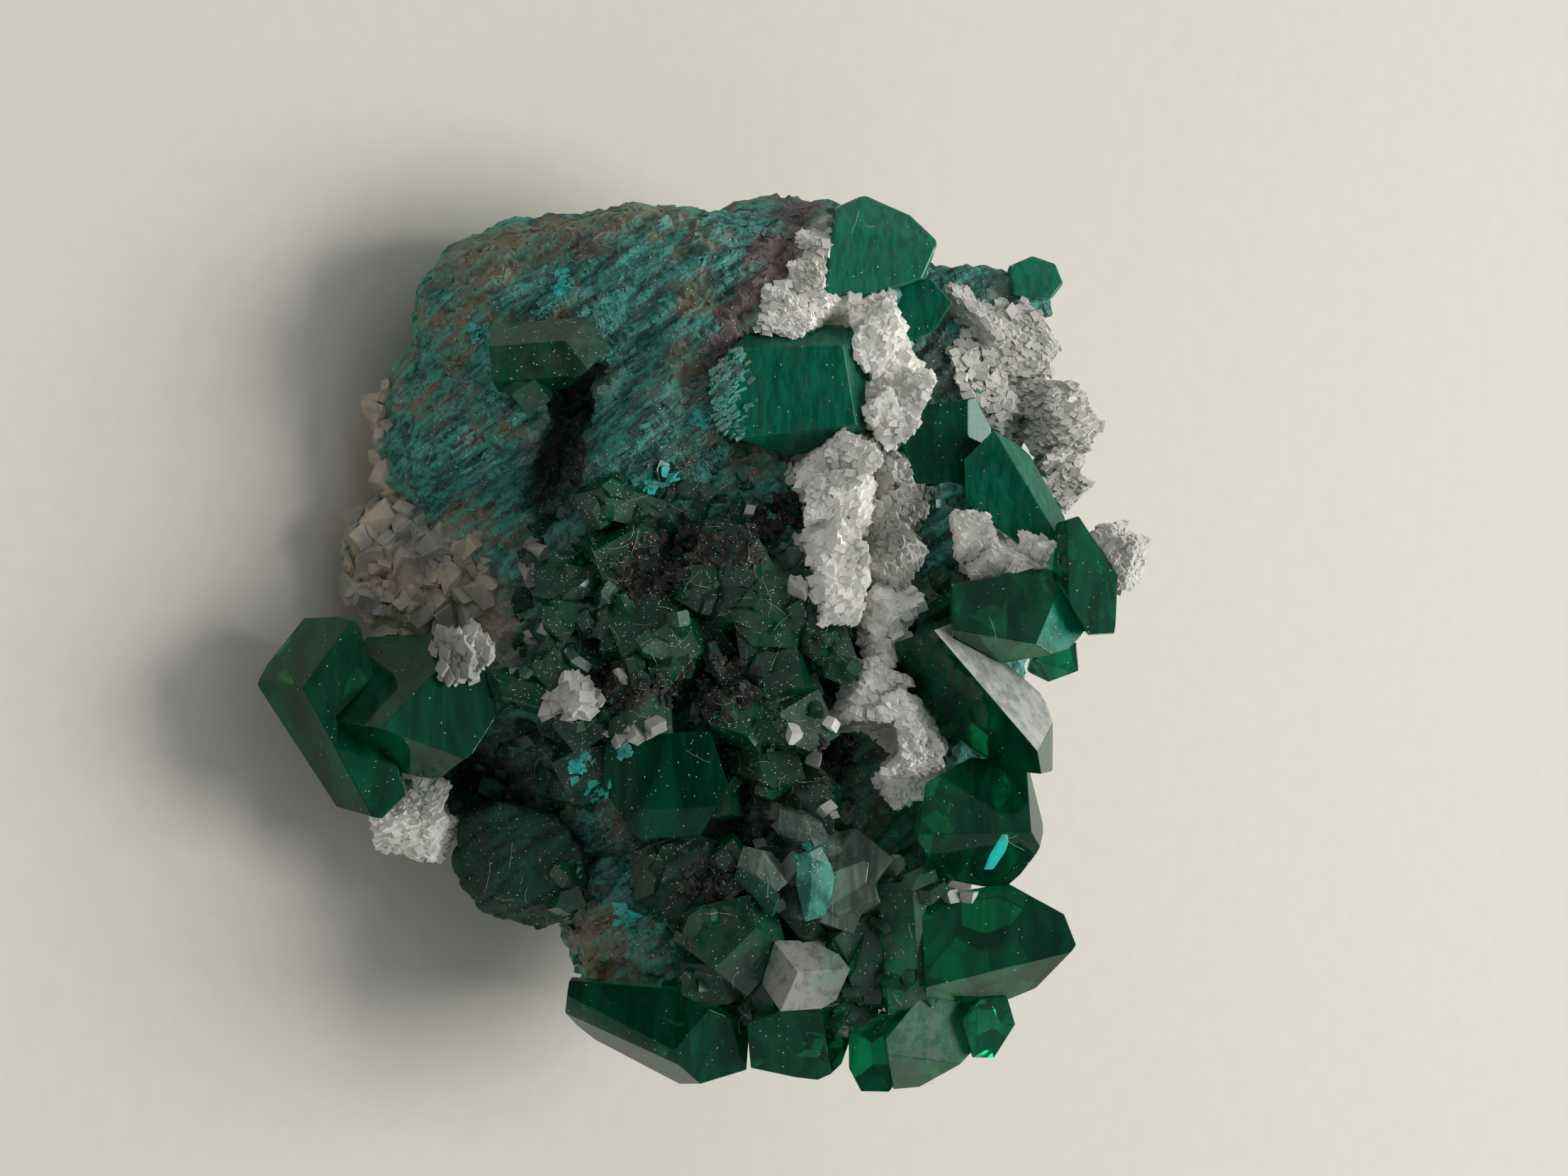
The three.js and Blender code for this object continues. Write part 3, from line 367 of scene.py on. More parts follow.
class DioptaseColours(PropertyGroup):
    """Colours of the specimen's minerals."""

    emerald: colour_property("Emerald", "Body colour of the clear crystals", (0, 136, 96))
    emerald_depth: colour_property("Emerald depth", "What a thick crystal keeps of the light", (2, 205, 166))
    emerald_dark: colour_property("Dark emerald", "Body colour of the crowded small crystals", (0, 120, 82))
    cloudy: colour_property("Cloudy green", "Body colour of the cloudy teal crystals", (6, 138, 106))
    silk: colour_property("Silky green", "Darker fibres of the dome", (6, 40, 29))
    silk_light: colour_property("Light silk", "Lighter fibres of the dome", (14, 66, 50))
    pale_green: colour_property("Pale green", "Body colour of the pale cluster", (112, 142, 126))
    crystal_dust: colour_property("Dusty face", "Grey film of dust on the crystals", (126, 130, 124))
    calcite: colour_property("Calcite", "White of the calcite", (240, 239, 233))
    calcite_shade: colour_property("Calcite shade", "Greyer parts of the calcite", (198, 198, 191))
    calcite_dull: colour_property("Dull calcite", "Lighter parts of the greyest calcite", (188, 188, 182))
    calcite_grey: colour_property("Grey calcite", "Darker parts of the greyest calcite", (142, 143, 138))
    teal: colour_property("Teal crust", "Main colour of the rock's crust", (64, 166, 150))
    teal_dark: colour_property("Dark teal", "Darker fibres of the crust", (26, 86, 78))
    turquoise: colour_property("Turquoise", "Bright grains and flakes of the crust", (50, 186, 178))
    brown: colour_property("Brown", "Brown patches of the crust", (156, 132, 100))
    purple: colour_property("Purple brown", "Streak beside the vein", (102, 86, 87))
    pale: colour_property("Pale vein", "Cream colour round the calcite vein", (214, 209, 194))
    rust: colour_property("Rust", "Iron stains", (124, 70, 42))
    beige: colour_property("Beige rock", "Coarse rock at the lower left", (184, 170, 148))
    # Black is painted shade in the rock's hollows and in its speckled shadow; it is also the real colour of
    # the dark grit.
    black: colour_property("Black", "Dark coating in the hollows", (24, 23, 23))
    green: colour_property("Green crust", "Dark green crust under the small crystals", (14, 66, 48))
    grit: colour_property("Grit", "Lighter parts of the dark gritty coating", (62, 63, 57))
    plane: colour_property("Teal plane", "Teal plane on the pale cluster", (66, 140, 124))
    # Etched facet of the long prism; its light grey is also a painted reflection of the window.
    frost: colour_property("Frost", "Etched and dusty facet of the long prism", (172, 176, 170))
    dull: colour_property("Dull facet", "Dusty facets of the crowded crystals", (56, 88, 74))
    # Painted glow: the summit facet's film is opaque, and its bright teal stands in for light shining through
    # the crystal.
    glow: colour_property("Glow", "Facet that lets the light through", (8, 122, 98))
    # Painted flash: the bright cyan stands in for light reflected from a fracture inside the crystal.
    flash: colour_property("Flash", "Cyan plane on one crystal", (30, 214, 196))
    matrix: colour_property("Matrix", "Bare rock of the hidden back", (104, 92, 82))
    floor: colour_property("Floor", "Plain floor under the specimen", (202, 198, 189))


class DioptaseDetail(PropertyGroup):
    """Sizes and counts of the fine detail."""

    rock_grain: length_property("Rock grain", "Spacing of the rock's fine mesh", 0.27 * MM)
    dome_grain: length_property("Dome grain", "Spacing of the silky dome's fine mesh", 0.16 * MM)
    rock_swell: length_property("Rock swell", "How far the crust closes in on what it holds", 0.28 * MM)
    edge: length_property("Crystal edge", "Width of the worn edges of the crystals", 0.05 * MM)
    round_edge: length_property("Rounded edge", "Width of the edges of rounded crystals", 0.45 * MM)
    growth: length_property("Crystal growth", "How far a crystal grows to meet its neighbours", 0.16 * MM)
    calcite_grain: length_property("Calcite grain", "Usual edge of the small calcite rhombs", 0.25 * MM)
    calcite_teeth: number_property("Calcite teeth", "Small rhombs on each square millimetre of calcite", 22)
    crust_step: length_property("Calcite spacing", "Spacing of the rhombs in the calcite crust", 0.26 * MM)
    flake: length_property("Flake", "Usual length of the teal flakes", 0.42 * MM)
    beige_grain: length_property("Beige grain", "Usual size of the coarse grains", 0.95 * MM)
    speck: length_property("Dust speck", "Usual size of a dust speck", 0.05 * MM)
    specks: count_property("Specks", "How many dust specks lie on the specimen", 6000)
    fibre: length_property("Fibre", "Thickness of a lint fibre", 0.01 * MM)
    fibres: count_property("Fibres", "How many lint fibres lie on the specimen", 190)


class DioptaseStage(PropertyGroup):
    """Floor, light and camera."""

    window_power: number_property("Window", "Power of the large soft light", 12.4)
    fill: number_property("Fill", "Strength of the light from all round", 0.64)
    distance: length_property("Distance", "From the camera to the middle of the picture", 157.3 * MM)
    lens: number_property("Lens", "Focal length in millimetres on the sensor's width", 80)


def colours():
    return bpy.context.scene.dioptase_colours


def detail():
    return bpy.context.scene.dioptase_detail


def face_way(x, y, z=0):
    """A direction given along the face's own axes."""
    return FACE_X * x + FACE_Y * y + FACE_Z * z


def heading_way(heading):
    """The direction within the face that has a heading in radians."""
    return face_way(math.cos(heading), math.sin(heading))


def from_face(x, y, z):
    """The place in the specimen's frame of a point given in millimetres on the face."""
    return FACE_CENTRE + face_way(x, y, z) * MM


def to_face(point):
    """The reverse of from_face."""
    away = (Vector(point) - FACE_CENTRE) / MM
    return Vector((away.dot(FACE_X), away.dot(FACE_Y), away.dot(FACE_Z)))


def clear_shade(colour):
    """A colour as a shader's red, green, blue and alpha."""
    return (*colour, 1)


# Shader nodes

def put(tree, kind, inputs=None, **settings):
    """Adds a node, sets it up and joins or fills its inputs."""
    made = tree.nodes.new(kind)
    for name, value in settings.items():
        setattr(made, name, value)
    for name, value in (inputs or {}).items():
        if isinstance(value, bpy.types.NodeSocket):
            tree.links.new(value, made.inputs[name])
        else:
            made.inputs[name].default_value = value
    return made


def math_step(tree, operation, first, second):
    return put(tree, "ShaderNodeMath", {0: first, 1: second}, operation=operation).outputs[0]


def vector_step(tree, operation, first, second):
    return put(tree, "ShaderNodeVectorMath", {0: first, 1: second}, operation=operation).outputs["Vector"]


def likeness(tree, first, second):
    """The cosine between two directions."""
    inputs = {0: first, 1: second}
    return put(tree, "ShaderNodeVectorMath", inputs, operation="DOT_PRODUCT").outputs["Value"]


def spread(tree, value, low, high, to_low=0.0, to_high=1.0):
    """A value mapped smoothly from one range to another and held there."""
    inputs = {"Value": value, "From Min": low, "From Max": high, "To Min": to_low, "To Max": to_high}
    return put(tree, "ShaderNodeMapRange", inputs, interpolation_type="SMOOTHSTEP").outputs["Result"]


def blend_colour(tree, share, first, second):
    """Two colours mixed, each given by a socket or as red, green and blue."""
    ends = [one if isinstance(one, bpy.types.NodeSocket) else clear_shade(one) for one in (first, second)]
    return put(tree, "ShaderNodeMix", {0: share, 6: ends[0], 7: ends[1]}, data_type="RGBA").outputs[2]


def cloud(tree, place, scale, fine=4.0, rough=0.55, twist=0.0):
    """Soft noise between 0 and 1."""
    inputs = {"Vector": place, "Scale": scale, "Detail": fine, "Roughness": rough, "Distortion": twist}
    return put(tree, "ShaderNodeTexNoise", inputs).outputs["Fac"]


def face_place(tree):
    """Object coordinates turned into millimetres on the face."""
    turn = Matrix.Rotation(-FACE_LEAN, 3, "X")
    inputs = {
        "Vector": put(tree, "ShaderNodeTexCoord").outputs["Object"],
        "Scale": (1 / MM, 1 / MM, 1 / MM),
        "Rotation": (-FACE_LEAN, 0, 0),
        "Location": -(turn @ FACE_CENTRE) / MM,
    }
    return put(tree, "ShaderNodeMapping", inputs).outputs["Vector"]


def stretched(tree, place, scale, turn=(0, 0, 0)):
    """Places scaled along the axes and then turned."""
    inputs = {"Vector": place, "Scale": scale, "Rotation": turn}
    return put(tree, "ShaderNodeMapping", inputs).outputs["Vector"]


def fibre_place(tree, place, along, across):
    """Places stretched along the rock's fibres."""
    turned = stretched(tree, place, (1, 1, 1), (0, 0, -FIBRE_TURN))
    return stretched(tree, turned, (along, across, across))


def bumped(tree, height, strength, depth):
    """Normals of a surface whose height map is a given number of millimetres deep."""
    inputs = {"Height": height, "Strength": strength, "Distance": depth * MM}
    return put(tree, "ShaderNodeBump", inputs).outputs["Normal"]


def new_group(name, inputs, outputs):
    """An empty shader group with the given sockets, and its two ends."""
    tree = bpy.data.node_groups.new(name, "ShaderNodeTree")
    for label, kind in inputs:
        tree.interface.new_socket(label, in_out="INPUT", socket_type=kind)
    for label, kind in outputs:
        tree.interface.new_socket(label, in_out="OUTPUT", socket_type=kind)
    return tree, tree.nodes.new("NodeGroupInput"), tree.nodes.new("NodeGroupOutput")


def use_group(tree, name, inputs):
    return put(tree, "ShaderNodeGroup", inputs, node_tree=bpy.data.node_groups[name])


def patch_group():
    """A soft-edged patch: 1 in its middle and 0 outside."""
    sockets = [
        ("Place", "NodeSocketVector"), ("Middle", "NodeSocketVector"), ("Half", "NodeSocketVector"),
        ("Turn", "NodeSocketFloat"), ("Softness", "NodeSocketFloat"), ("Strength", "NodeSocketFloat"),
    ]
    tree, start, end = new_group("Patch", sockets, [("Mask", "NodeSocketFloat")])
    given = start.outputs
    moved = vector_step(tree, "SUBTRACT", given["Place"], given["Middle"])
    inputs = {"Vector": moved, "Angle": given["Turn"]}
    turned = put(tree, "ShaderNodeVectorRotate", inputs, rotation_type="Z_AXIS").outputs["Vector"]
    shared = vector_step(tree, "DIVIDE", turned, given["Half"])
    reach = put(tree, "ShaderNodeVectorMath", {0: shared}, operation="LENGTH").outputs["Value"]
    inner = math_step(tree, "SUBTRACT", 1.0, given["Softness"])
    outer = math_step(tree, "ADD", 1.0, given["Softness"])
    mask = spread(tree, reach, outer, inner)
    tree.links.new(math_step(tree, "MULTIPLY", mask, given["Strength"]), end.inputs["Mask"])


def patch_mask(tree, place, patch):
    """Where a patch of colour lies: its middle, half sizes, turn in degrees, softness and strength."""
    middle, half, turn, softness, strength = patch
    return use_group(tree, "Patch", {
        "Place": place, "Middle": middle, "Half": half, "Turn": -math.radians(turn), "Softness": softness,
        "Strength": strength,
    }).outputs["Mask"]


def dust_group():
    """Dust that settles on faces turned outward from the face, in a film and in specks."""
    sockets = [("Place", "NodeSocketVector"), ("Film", "NodeSocketFloat"), ("Specks", "NodeSocketFloat")]
    tree, start, end = new_group("Dust", sockets, [("Mask", "NodeSocketFloat")])
    place = start.outputs["Place"]
    normal = put(tree, "ShaderNodeNewGeometry").outputs["Normal"]
    facing = likeness(tree, normal, FACE_Z)
    settled = spread(tree, facing, 0.15, 0.85)
    film = spread(tree, cloud(tree, place, 1.3, 7.0, 0.72), 0.38, 0.68)
    cells = put(tree, "ShaderNodeTexVoronoi", {"Vector": place, "Scale": 6.0}).outputs["Distance"]
    grains = spread(tree, cells, 0.15, 0.07)
    film = math_step(tree, "MULTIPLY", film, start.outputs["Film"])
    grains = math_step(tree, "MULTIPLY", grains, start.outputs["Specks"])
    both = math_step(tree, "MAXIMUM", film, grains)
    tree.links.new(math_step(tree, "MULTIPLY", both, settled), end.inputs["Mask"])


def growth_group():
    """Height of the growth steps and fine lines on crystal faces."""
    tree, start, end = new_group("Growth", [("Place", "NodeSocketVector")], [("Height", "NodeSocketFloat")])
    place = start.outputs["Place"]
    plates = cloud(tree, place, 0.55, 3.0, 0.6, 0.6)
    steps = math_step(tree, "SNAP", plates, 0.09)
    fine = cloud(tree, stretched(tree, place, (6, 0.8, 6), (0, 0, 0.7)), 1.0, 3.0, 0.6)
    pits = cloud(tree, place, 6.0, 3.0, 0.6)
    height = math_step(tree, "MULTIPLY", steps, 0.5)
    for part, share in ((fine, 0.05), (pits, 0.012)):
        height = math_step(tree, "ADD", height, math_step(tree, "MULTIPLY", part, share))
    tree.links.new(height, end.inputs["Height"])


def new_material(name):
    """A material emptied of its nodes, with its tree and its output."""
    made = bpy.data.materials.new(name)
    made.use_nodes = True
    made.node_tree.nodes.clear()
    return made, made.node_tree, made.node_tree.nodes.new("ShaderNodeOutputMaterial")


def shade_surface(tree, out, inputs):
    """Gives a material one plain shader for its surface."""
    shader = put(tree, "ShaderNodeBsdfPrincipled", inputs)
    tree.links.new(shader.outputs[0], out.inputs["Surface"])


def emerald(name, body, film, specks, transmission, density, polish, streak, grain, sheen):
    """Green crystal, clear or streaked with veils, under a thin film of dust."""
    made, tree, out = new_material(name)
    place = face_place(tree)
    dust = use_group(tree, "Dust", {"Place": place, "Film": film, "Specks": specks}).outputs["Mask"]
    lines = stretched(tree, place, (0.22, 1, 0.6), (0.5, 0.3, 0.9))
    veil = spread(tree, cloud(tree, lines, grain, 6.0, 0.62, 0.8), 0.36, 0.66)
    shade = getattr(colours(), body)
    deep = [(1 - streak) * part for part in shade]
    light = [min(1.0, (1 + streak) * part + 0.05 * streak * part ** 0.5) for part in shade]
    colour = blend_colour(tree, veil, deep, light)
    colour = blend_colour(tree, dust, colour, colours().crystal_dust)
    rough = spread(tree, dust, 0.0, 0.7, polish, 0.45)
    height = use_group(tree, "Growth", {"Place": place}).outputs["Height"]
    shade_surface(tree, out, {
        "Base Color": colour, "Roughness": rough, "Normal": bumped(tree, height, 0.3, 0.12),
        "IOR": DIOPTASE_IOR,
        "Specular Tint": (sheen, 0.12 + sheen, 0.09 + sheen, 1), "Transmission Weight": transmission,
    })
    inputs = {"Color": clear_shade(colours().emerald_depth), "Density": density}
    inside = put(tree, "ShaderNodeVolumeAbsorption", inputs)
    tree.links.new(inside.outputs[0], out.inputs["Volume"])
    return made


def calcite_material(name, light, dark, stain, share):
    """Calcite with greyer and stained parts."""
    made, tree, out = new_material(name)
    shades = colours()
    place = face_place(tree)
    grey = spread(tree, cloud(tree, place, 0.28, 4.0, 0.6), 0.42, 0.66)
    colour = blend_colour(tree, grey, getattr(shades, light), getattr(shades, dark))
    grime = spread(tree, cloud(tree, place, 1.6, 6.0, 0.7), 0.44, 0.7, 0.0, share)
    colour = blend_colour(tree, grime, colour, getattr(shades, stain))
    sparkle = spread(tree, cloud(tree, place, 2.2, 2.0), 0.35, 0.65, 0.38, 0.62)
    normal = bumped(tree, cloud(tree, place, 5.0, 4.0, 0.6), 0.25, 0.08)
    shade_surface(tree, out, {
        "Base Color": colour, "Roughness": sparkle, "Normal": normal, "IOR": STONE_IOR,
        "Specular IOR Level": 0.3,
    })
    return made


def rock_material():
    """Teal fibrous crust with brown, purple, beige and green patches, painted black shade in hollows, a bare
    back.
    """
    made, tree, out = new_material("teal_rock")
    shades = colours()
    place = face_place(tree)
    inputs = {"Vector": place, "Scale": 0.55, "Detail": 5.0, "Roughness": 0.65}
    swirl = put(tree, "ShaderNodeTexNoise", inputs).outputs["Color"]
    centred = vector_step(tree, "SUBTRACT", swirl, (0.5, 0.5, 0.5))
    scaled = vector_step(tree, "MULTIPLY", centred, (4.2, 4.2, 4.2))
    wander = vector_step(tree, "ADD", place, scaled)
    fibres = cloud(tree, fibre_place(tree, place, 0.45, 2.6), 1.0, 7.0, 0.62, 0.4)
    flecks = cloud(tree, fibre_place(tree, place, 0.9, 3.2), 1.0, 5.0, 0.6)
    broad = cloud(tree, place, 0.3, 5.0, 0.6)
    grit = cloud(tree, place, 4.5, 6.0, 0.7)
    colour = blend_colour(tree, spread(tree, fibres, 0.4, 0.6), shades.teal_dark, shades.teal)
    zones = spread(tree, broad, 0.4, 0.62, 0.15, 0.85)
    bright = math_step(tree, "MULTIPLY", spread(tree, flecks, 0.58, 0.72), zones)
    colour = blend_colour(tree, bright, colour, shades.turquoise)
    lows = spread(tree, fibres, 0.36, 0.6, 0.9, 0.2)
    stain = math_step(tree, "MULTIPLY", spread(tree, broad, 0.5, 0.62), lows)
    colour = blend_colour(tree, math_step(tree, "MULTIPLY", stain, 0.8), colour, shades.brown)
    for shade in ("green", "beige", "brown", "pale", "purple", "rust", "black"):
        for patch in ROCK_PATCHES[shade]:
            mask = patch_mask(tree, wander, patch)
            if shade in ("green", "brown"):
                mask = math_step(tree, "MULTIPLY", mask, spread(tree, fibres, 0.3, 0.6, 1.0, 0.45))
            colour = blend_colour(tree, mask, colour, getattr(shades, shade))
    depth = put(tree, "ShaderNodeSeparateXYZ", {"Vector": wander}).outputs["Z"]
    behind = math_step(tree, "MULTIPLY", spread(tree, depth, -8.5, -11.5), 0.92)
    bare = blend_colour(tree, spread(tree, grit, 0.35, 0.65), shades.brown, shades.matrix)
    bare = blend_colour(tree, spread(tree, broad, 0.5, 0.68, 0.0, 0.8), bare, shades.teal_dark)
    colour = blend_colour(tree, behind, colour, bare)
    shadow = spread(tree, grit, 0.3, 0.55, 0.22, 0.0)
    colour = blend_colour(tree, shadow, colour, shades.black)
    dust = use_group(tree, "Dust", {"Place": place, "Film": 0.28, "Specks": 0.35}).outputs["Mask"]
    colour = blend_colour(tree, dust, colour, shades.crystal_dust)
    rough = spread(tree, fibres, 0.3, 0.7, 0.78, 0.5)
    height = math_step(tree, "ADD", fibres, math_step(tree, "MULTIPLY", grit, 0.6))
    normal = bumped(tree, height, 0.9, 0.2)
    shade_surface(tree, out, {"Base Color": colour, "Roughness": rough, "Normal": normal, "IOR": STONE_IOR})
    return made


def grain_material(name, first, second, roughness, scale, fibrous=False):
    """An opaque mineral whose colour wanders between two shades, along the rock's fibres if fibrous."""
    made, tree, out = new_material(name)
    place = face_place(tree)
    if fibrous:
        place = fibre_place(tree, place, 0.5, 2.6)
    share = spread(tree, cloud(tree, place, scale, 4.0, 0.6), 0.36, 0.64)
    colour = blend_colour(tree, share, first, second)
    rough = spread(tree, share, 0.0, 1.0, roughness, min(1.0, roughness + 0.2))
    normal = bumped(tree, cloud(tree, place, 4 * scale, 4.0, 0.6), 0.3, 0.06)
    shade_surface(tree, out, {
        "Base Color": colour, "Roughness": rough, "Normal": normal, "IOR": GRAIN_IOR,
        "Specular IOR Level": 0.25,
    })
    return made


def look_for(node, looks, usual):
    """The name of the look listed for a node, or the usual one."""
    return next((look for nodes, look in looks.items() if node in nodes), usual)


# Meshes

def merged_copy(node):
    """A copy of a CAD node's mesh with its loose triangles joined."""
    mesh = bmesh.new()
    mesh.from_mesh(frame["nodes"][node].data)
    bmesh.ops.remove_doubles(mesh, verts=mesh.verts[:], dist=MERGE_DISTANCE)
    return mesh


def linked(name, data):
    """A new object in the scene that shows some data."""
    made = bpy.data.objects.new(name, data)
    bpy.context.scene.collection.objects.link(made)
    return made


def as_object(mesh, name):
    """Turns a bmesh into an object at the origin."""
    data = bpy.data.meshes.new(name)
    mesh.to_mesh(data)
    mesh.free()
    return linked(name, data)


def finish_piece(piece, material, kind, nodes=()):
    """Gives a piece its material, its kind and its body, and hides the nodes that it stands for."""
    piece.data.materials.clear()
    piece.data.materials.append(material)
    piece["kind"] = kind
    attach(piece, "root")
    if nodes:
        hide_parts(*nodes)
    return piece


def shaped_mesh(piece):
    """A new mesh of what a piece's modifiers or bevel make of it."""
    bpy.context.view_layer.update()
    return bpy.data.meshes.new_from_object(piece.evaluated_get(bpy.context.evaluated_depsgraph_get()))


def remeshed(piece, grain):
    """Rebuilds a piece's mesh from even small faces."""
    change = piece.modifiers.new("grain", "REMESH")
    change.mode = "VOXEL"
    change.voxel_size = grain
    old = piece.data
    piece.data = shaped_mesh(piece)
    piece.modifiers.clear()
    bpy.data.meshes.remove(old)


def rock_height(spot):
    """Height of the crust, in millimetres, at a place on the face."""
    along = spot.x * math.cos(FIBRE_TURN) + spot.y * math.sin(FIBRE_TURN)
    across = spot.y * math.cos(FIBRE_TURN) - spot.x * math.sin(FIBRE_TURN)
    fibrous = noise.fractal(Vector((along * 0.42, across * 1.5, spot.z * 1.5)), 0.8, 2.1, 4)
    layer = across * 0.75 + 0.2 * spot.z + 0.9 * noise.noise(spot * 0.3)
    step = layer - math.floor(layer) - 0.5
    ridges = noise.ridged_multi_fractal(spot * 0.9, 1.0, 2.0, 4, 1.0, 2.0)
    near, next_near = noise.voronoi(spot * 0.62)[0][:2]
    crease = max(0.0, 1 - (next_near - near) / 0.3)
    return 0.26 * fibrous + 0.22 * step + 0.06 * ridges - 0.1 * crease


def roughen_rock(piece, swell, relief):
    """Raises the crust's fibres, layers and grains, leaving the resting face flat."""
    data = piece.data
    outward = [vertex.normal.copy() for vertex in data.vertices]
    for vertex, normal in zip(data.vertices, outward):
        lift = min(1.0, max(0.0, vertex.co.z / RELIEF_FADE))
        height = swell + relief * rock_height(to_face(vertex.co)) * MM
        spot = vertex.co + normal * (height * lift)
        spot.z = max(0.0, spot.z)
        vertex.co = spot
    data.update()


def crystal_copy(node, edge, growth):
    """A CAD crystal with whole flat faces, grown to meet its neighbours, and worn edges."""
    mesh = merged_copy(node)
    bmesh.ops.dissolve_limit(mesh, angle_limit=FLAT_EDGE, verts=mesh.verts[:], edges=mesh.edges[:])
    bmesh.ops.remove_doubles(mesh, verts=mesh.verts[:], dist=2 * detail().edge)
    bmesh.ops.dissolve_degenerate(mesh, edges=mesh.edges[:], dist=detail().edge)
    mesh.normal_update()
    for corner in mesh.verts:
        corner.co += corner.normal * (growth * min(CORNER_GROWTH, corner.calc_shell_factor()))
    inner = [one for one in mesh.edges if len(one.link_faces) == 2]
    sharp = [one for one in inner if one.calc_face_angle() > SHARP_EDGE]
    bmesh.ops.bevel(
        mesh, geom=sharp, offset=edge, offset_type="OFFSET", affect="EDGES", segments=3, profile=0.5,
        material=-1, clamp_overlap=True,
    )
    return mesh


def facet_film(node, way):
    """A thin film over the facet of a crystal that looks a given way in the face's frame."""
    mesh = crystal_copy(node, detail().edge, detail().growth)
    outward = face_way(*way)
    others = [one for one in mesh.faces if one.normal.dot(outward) < FILM_REACH]
    bmesh.ops.delete(mesh, geom=others, context="FACES")
    bmesh.ops.translate(mesh, verts=mesh.verts[:], vec=outward * FILM_LIFT)
    bmesh.ops.solidify(mesh, geom=mesh.faces[:], thickness=2 * FILM_LIFT)
    bmesh.ops.recalc_face_normals(mesh, faces=mesh.faces[:])
    return mesh


def cut_off(mesh, point, normal):
    """Cuts away what lies beyond a plane and closes the cut."""
    parts = mesh.verts[:] + mesh.edges[:] + mesh.faces[:]
    cut = bmesh.ops.bisect_plane(
        mesh, geom=parts, dist=CUT_DISTANCE, plane_co=point, plane_no=normal, clear_outer=True
    )
    rim = [one for one in cut["geom_cut"] if isinstance(one, bmesh.types.BMEdge)]
    if rim:
        bmesh.ops.edgeloop_fill(mesh, edges=rim)


def as_template(mesh):
    """A shape's corners and faces, for stamping many copies."""
    bmesh.ops.recalc_face_normals(mesh, faces=mesh.faces[:])
    mesh.verts.index_update()
    corners = np.array([corner.co[:] for corner in mesh.verts])
    faces = [[corner.index for corner in one.verts] for one in mesh.faces]
    mesh.free()
    return corners, faces


def prism_template(random):
    """A dioptase crystal of unit radius: its foot is at -2.4 and its tip near 0."""
    mesh = bmesh.new()
    bmesh.ops.create_cone(mesh, cap_ends=True, segments=6, radius1=1.05, radius2=1.05, depth=3.4)
    bmesh.ops.translate(mesh, verts=mesh.verts[:], vec=(0, 0, -0.7))
    for side in range(6):
        angle = math.radians(side * 60 + 30)
        away = Vector((math.cos(angle), math.sin(angle), 0))
        cut_off(mesh, away * random.uniform(0.62, 0.9), away)
    for end in range(3):
        angle = math.radians(end * 120)
        away = Vector((math.cos(angle), math.sin(angle), 0)) * math.sin(END_FACE_TILT)
        away.z = math.cos(END_FACE_TILT)
        cut_off(mesh, Vector((0, 0, random.uniform(-0.3, 0))), away)
    return as_template(mesh)


def rhomb_matrix():
    """Shears a cube into a calcite rhomb."""
    slant = math.cos(CALCITE_ANGLE)
    rise = math.sqrt(1 - slant ** 2)
    side = (slant - slant ** 2) / rise
    height = math.sqrt(1 - slant ** 2 - side ** 2)
    return Matrix(((1, slant, slant), (0, rise, side), (0, 0, height)))


def rhomb_template(random):
    """A calcite rhomb of unit edge with one corner broken off."""
    mesh = bmesh.new()
    bmesh.ops.create_cube(mesh, size=1)
    size = Matrix.Diagonal((random.uniform(0.8, 1.2), random.uniform(0.8, 1.2), random.uniform(0.6, 1.1)))
    bmesh.ops.transform(mesh, matrix=(rhomb_matrix() @ size).to_4x4(), verts=mesh.verts[:])
    corner = random.choice(mesh.verts[:]).co.copy()
    tilt = Vector((random.uniform(-0.4, 0.4), random.uniform(-0.4, 0.4), random.uniform(-0.4, 0.4)))
    cut_off(mesh, corner * random.uniform(0.55, 0.85), corner.normalized() + tilt)
    return as_template(mesh)


def chunk_template(random):
    """An angular broken chunk of unit size."""
    mesh = bmesh.new()
    bmesh.ops.create_cube(mesh, size=1.1)
    for _ in range(7):
        away = any_axis(random)
        cut_off(mesh, away * random.uniform(0.3, 0.55), away)
    return as_template(mesh)


def flake_template(random):
    """A thin flake of unit length, tapered along its grain."""
    mesh = bmesh.new()
    bmesh.ops.create_cube(mesh, size=1)
    bmesh.ops.scale(mesh, verts=mesh.verts[:], vec=(1, 0.42, 0.16))
    for corner in mesh.verts:
        corner.co *= random.uniform(0.65, 1.15)
    return as_template(mesh)


def several(make, random, count=6):
    """Different templates of one sort."""
    return [make(random) for _ in range(count)]


def stamped(name, templates, places):
    """One mesh of many copies: each place is a template's number and a matrix."""
    corners = []
    faces = []
    start = 0
    for which, matrix in places:
        points, sides = templates[which]
        turn = np.array(matrix.to_3x3())
        corners.append(points @ turn.T + np.array(matrix.translation))
        faces.extend([start + index for index in side] for side in sides)
        start += len(points)
    data = bpy.data.meshes.new(name)
    data.from_pydata(np.concatenate(corners).tolist(), [], faces)
    return linked(name, data)


def join_meshes(piece, other):
    """Adds another object's mesh to a piece and removes the other object."""
    mesh = bmesh.new()
    mesh.from_mesh(piece.data)
    mesh.from_mesh(other.data)
    mesh.to_mesh(piece.data)
    mesh.free()
    bpy.data.objects.remove(other)


def placed_at(point, axis, spin, size):
    """A matrix that sets a shape's z along an axis, turned about it and scaled."""
    turn = Vector(axis).to_track_quat("Z", "Y").to_matrix() @ Matrix.Rotation(spin, 3, "Z")
    return Matrix.Translation(point) @ (turn @ Matrix.Diagonal(size)).to_4x4()


def any_pick(random, templates):
    """A random spin in radians and the number of a random template."""
    return random.uniform(0, FULL_TURN), random.randrange(len(templates))


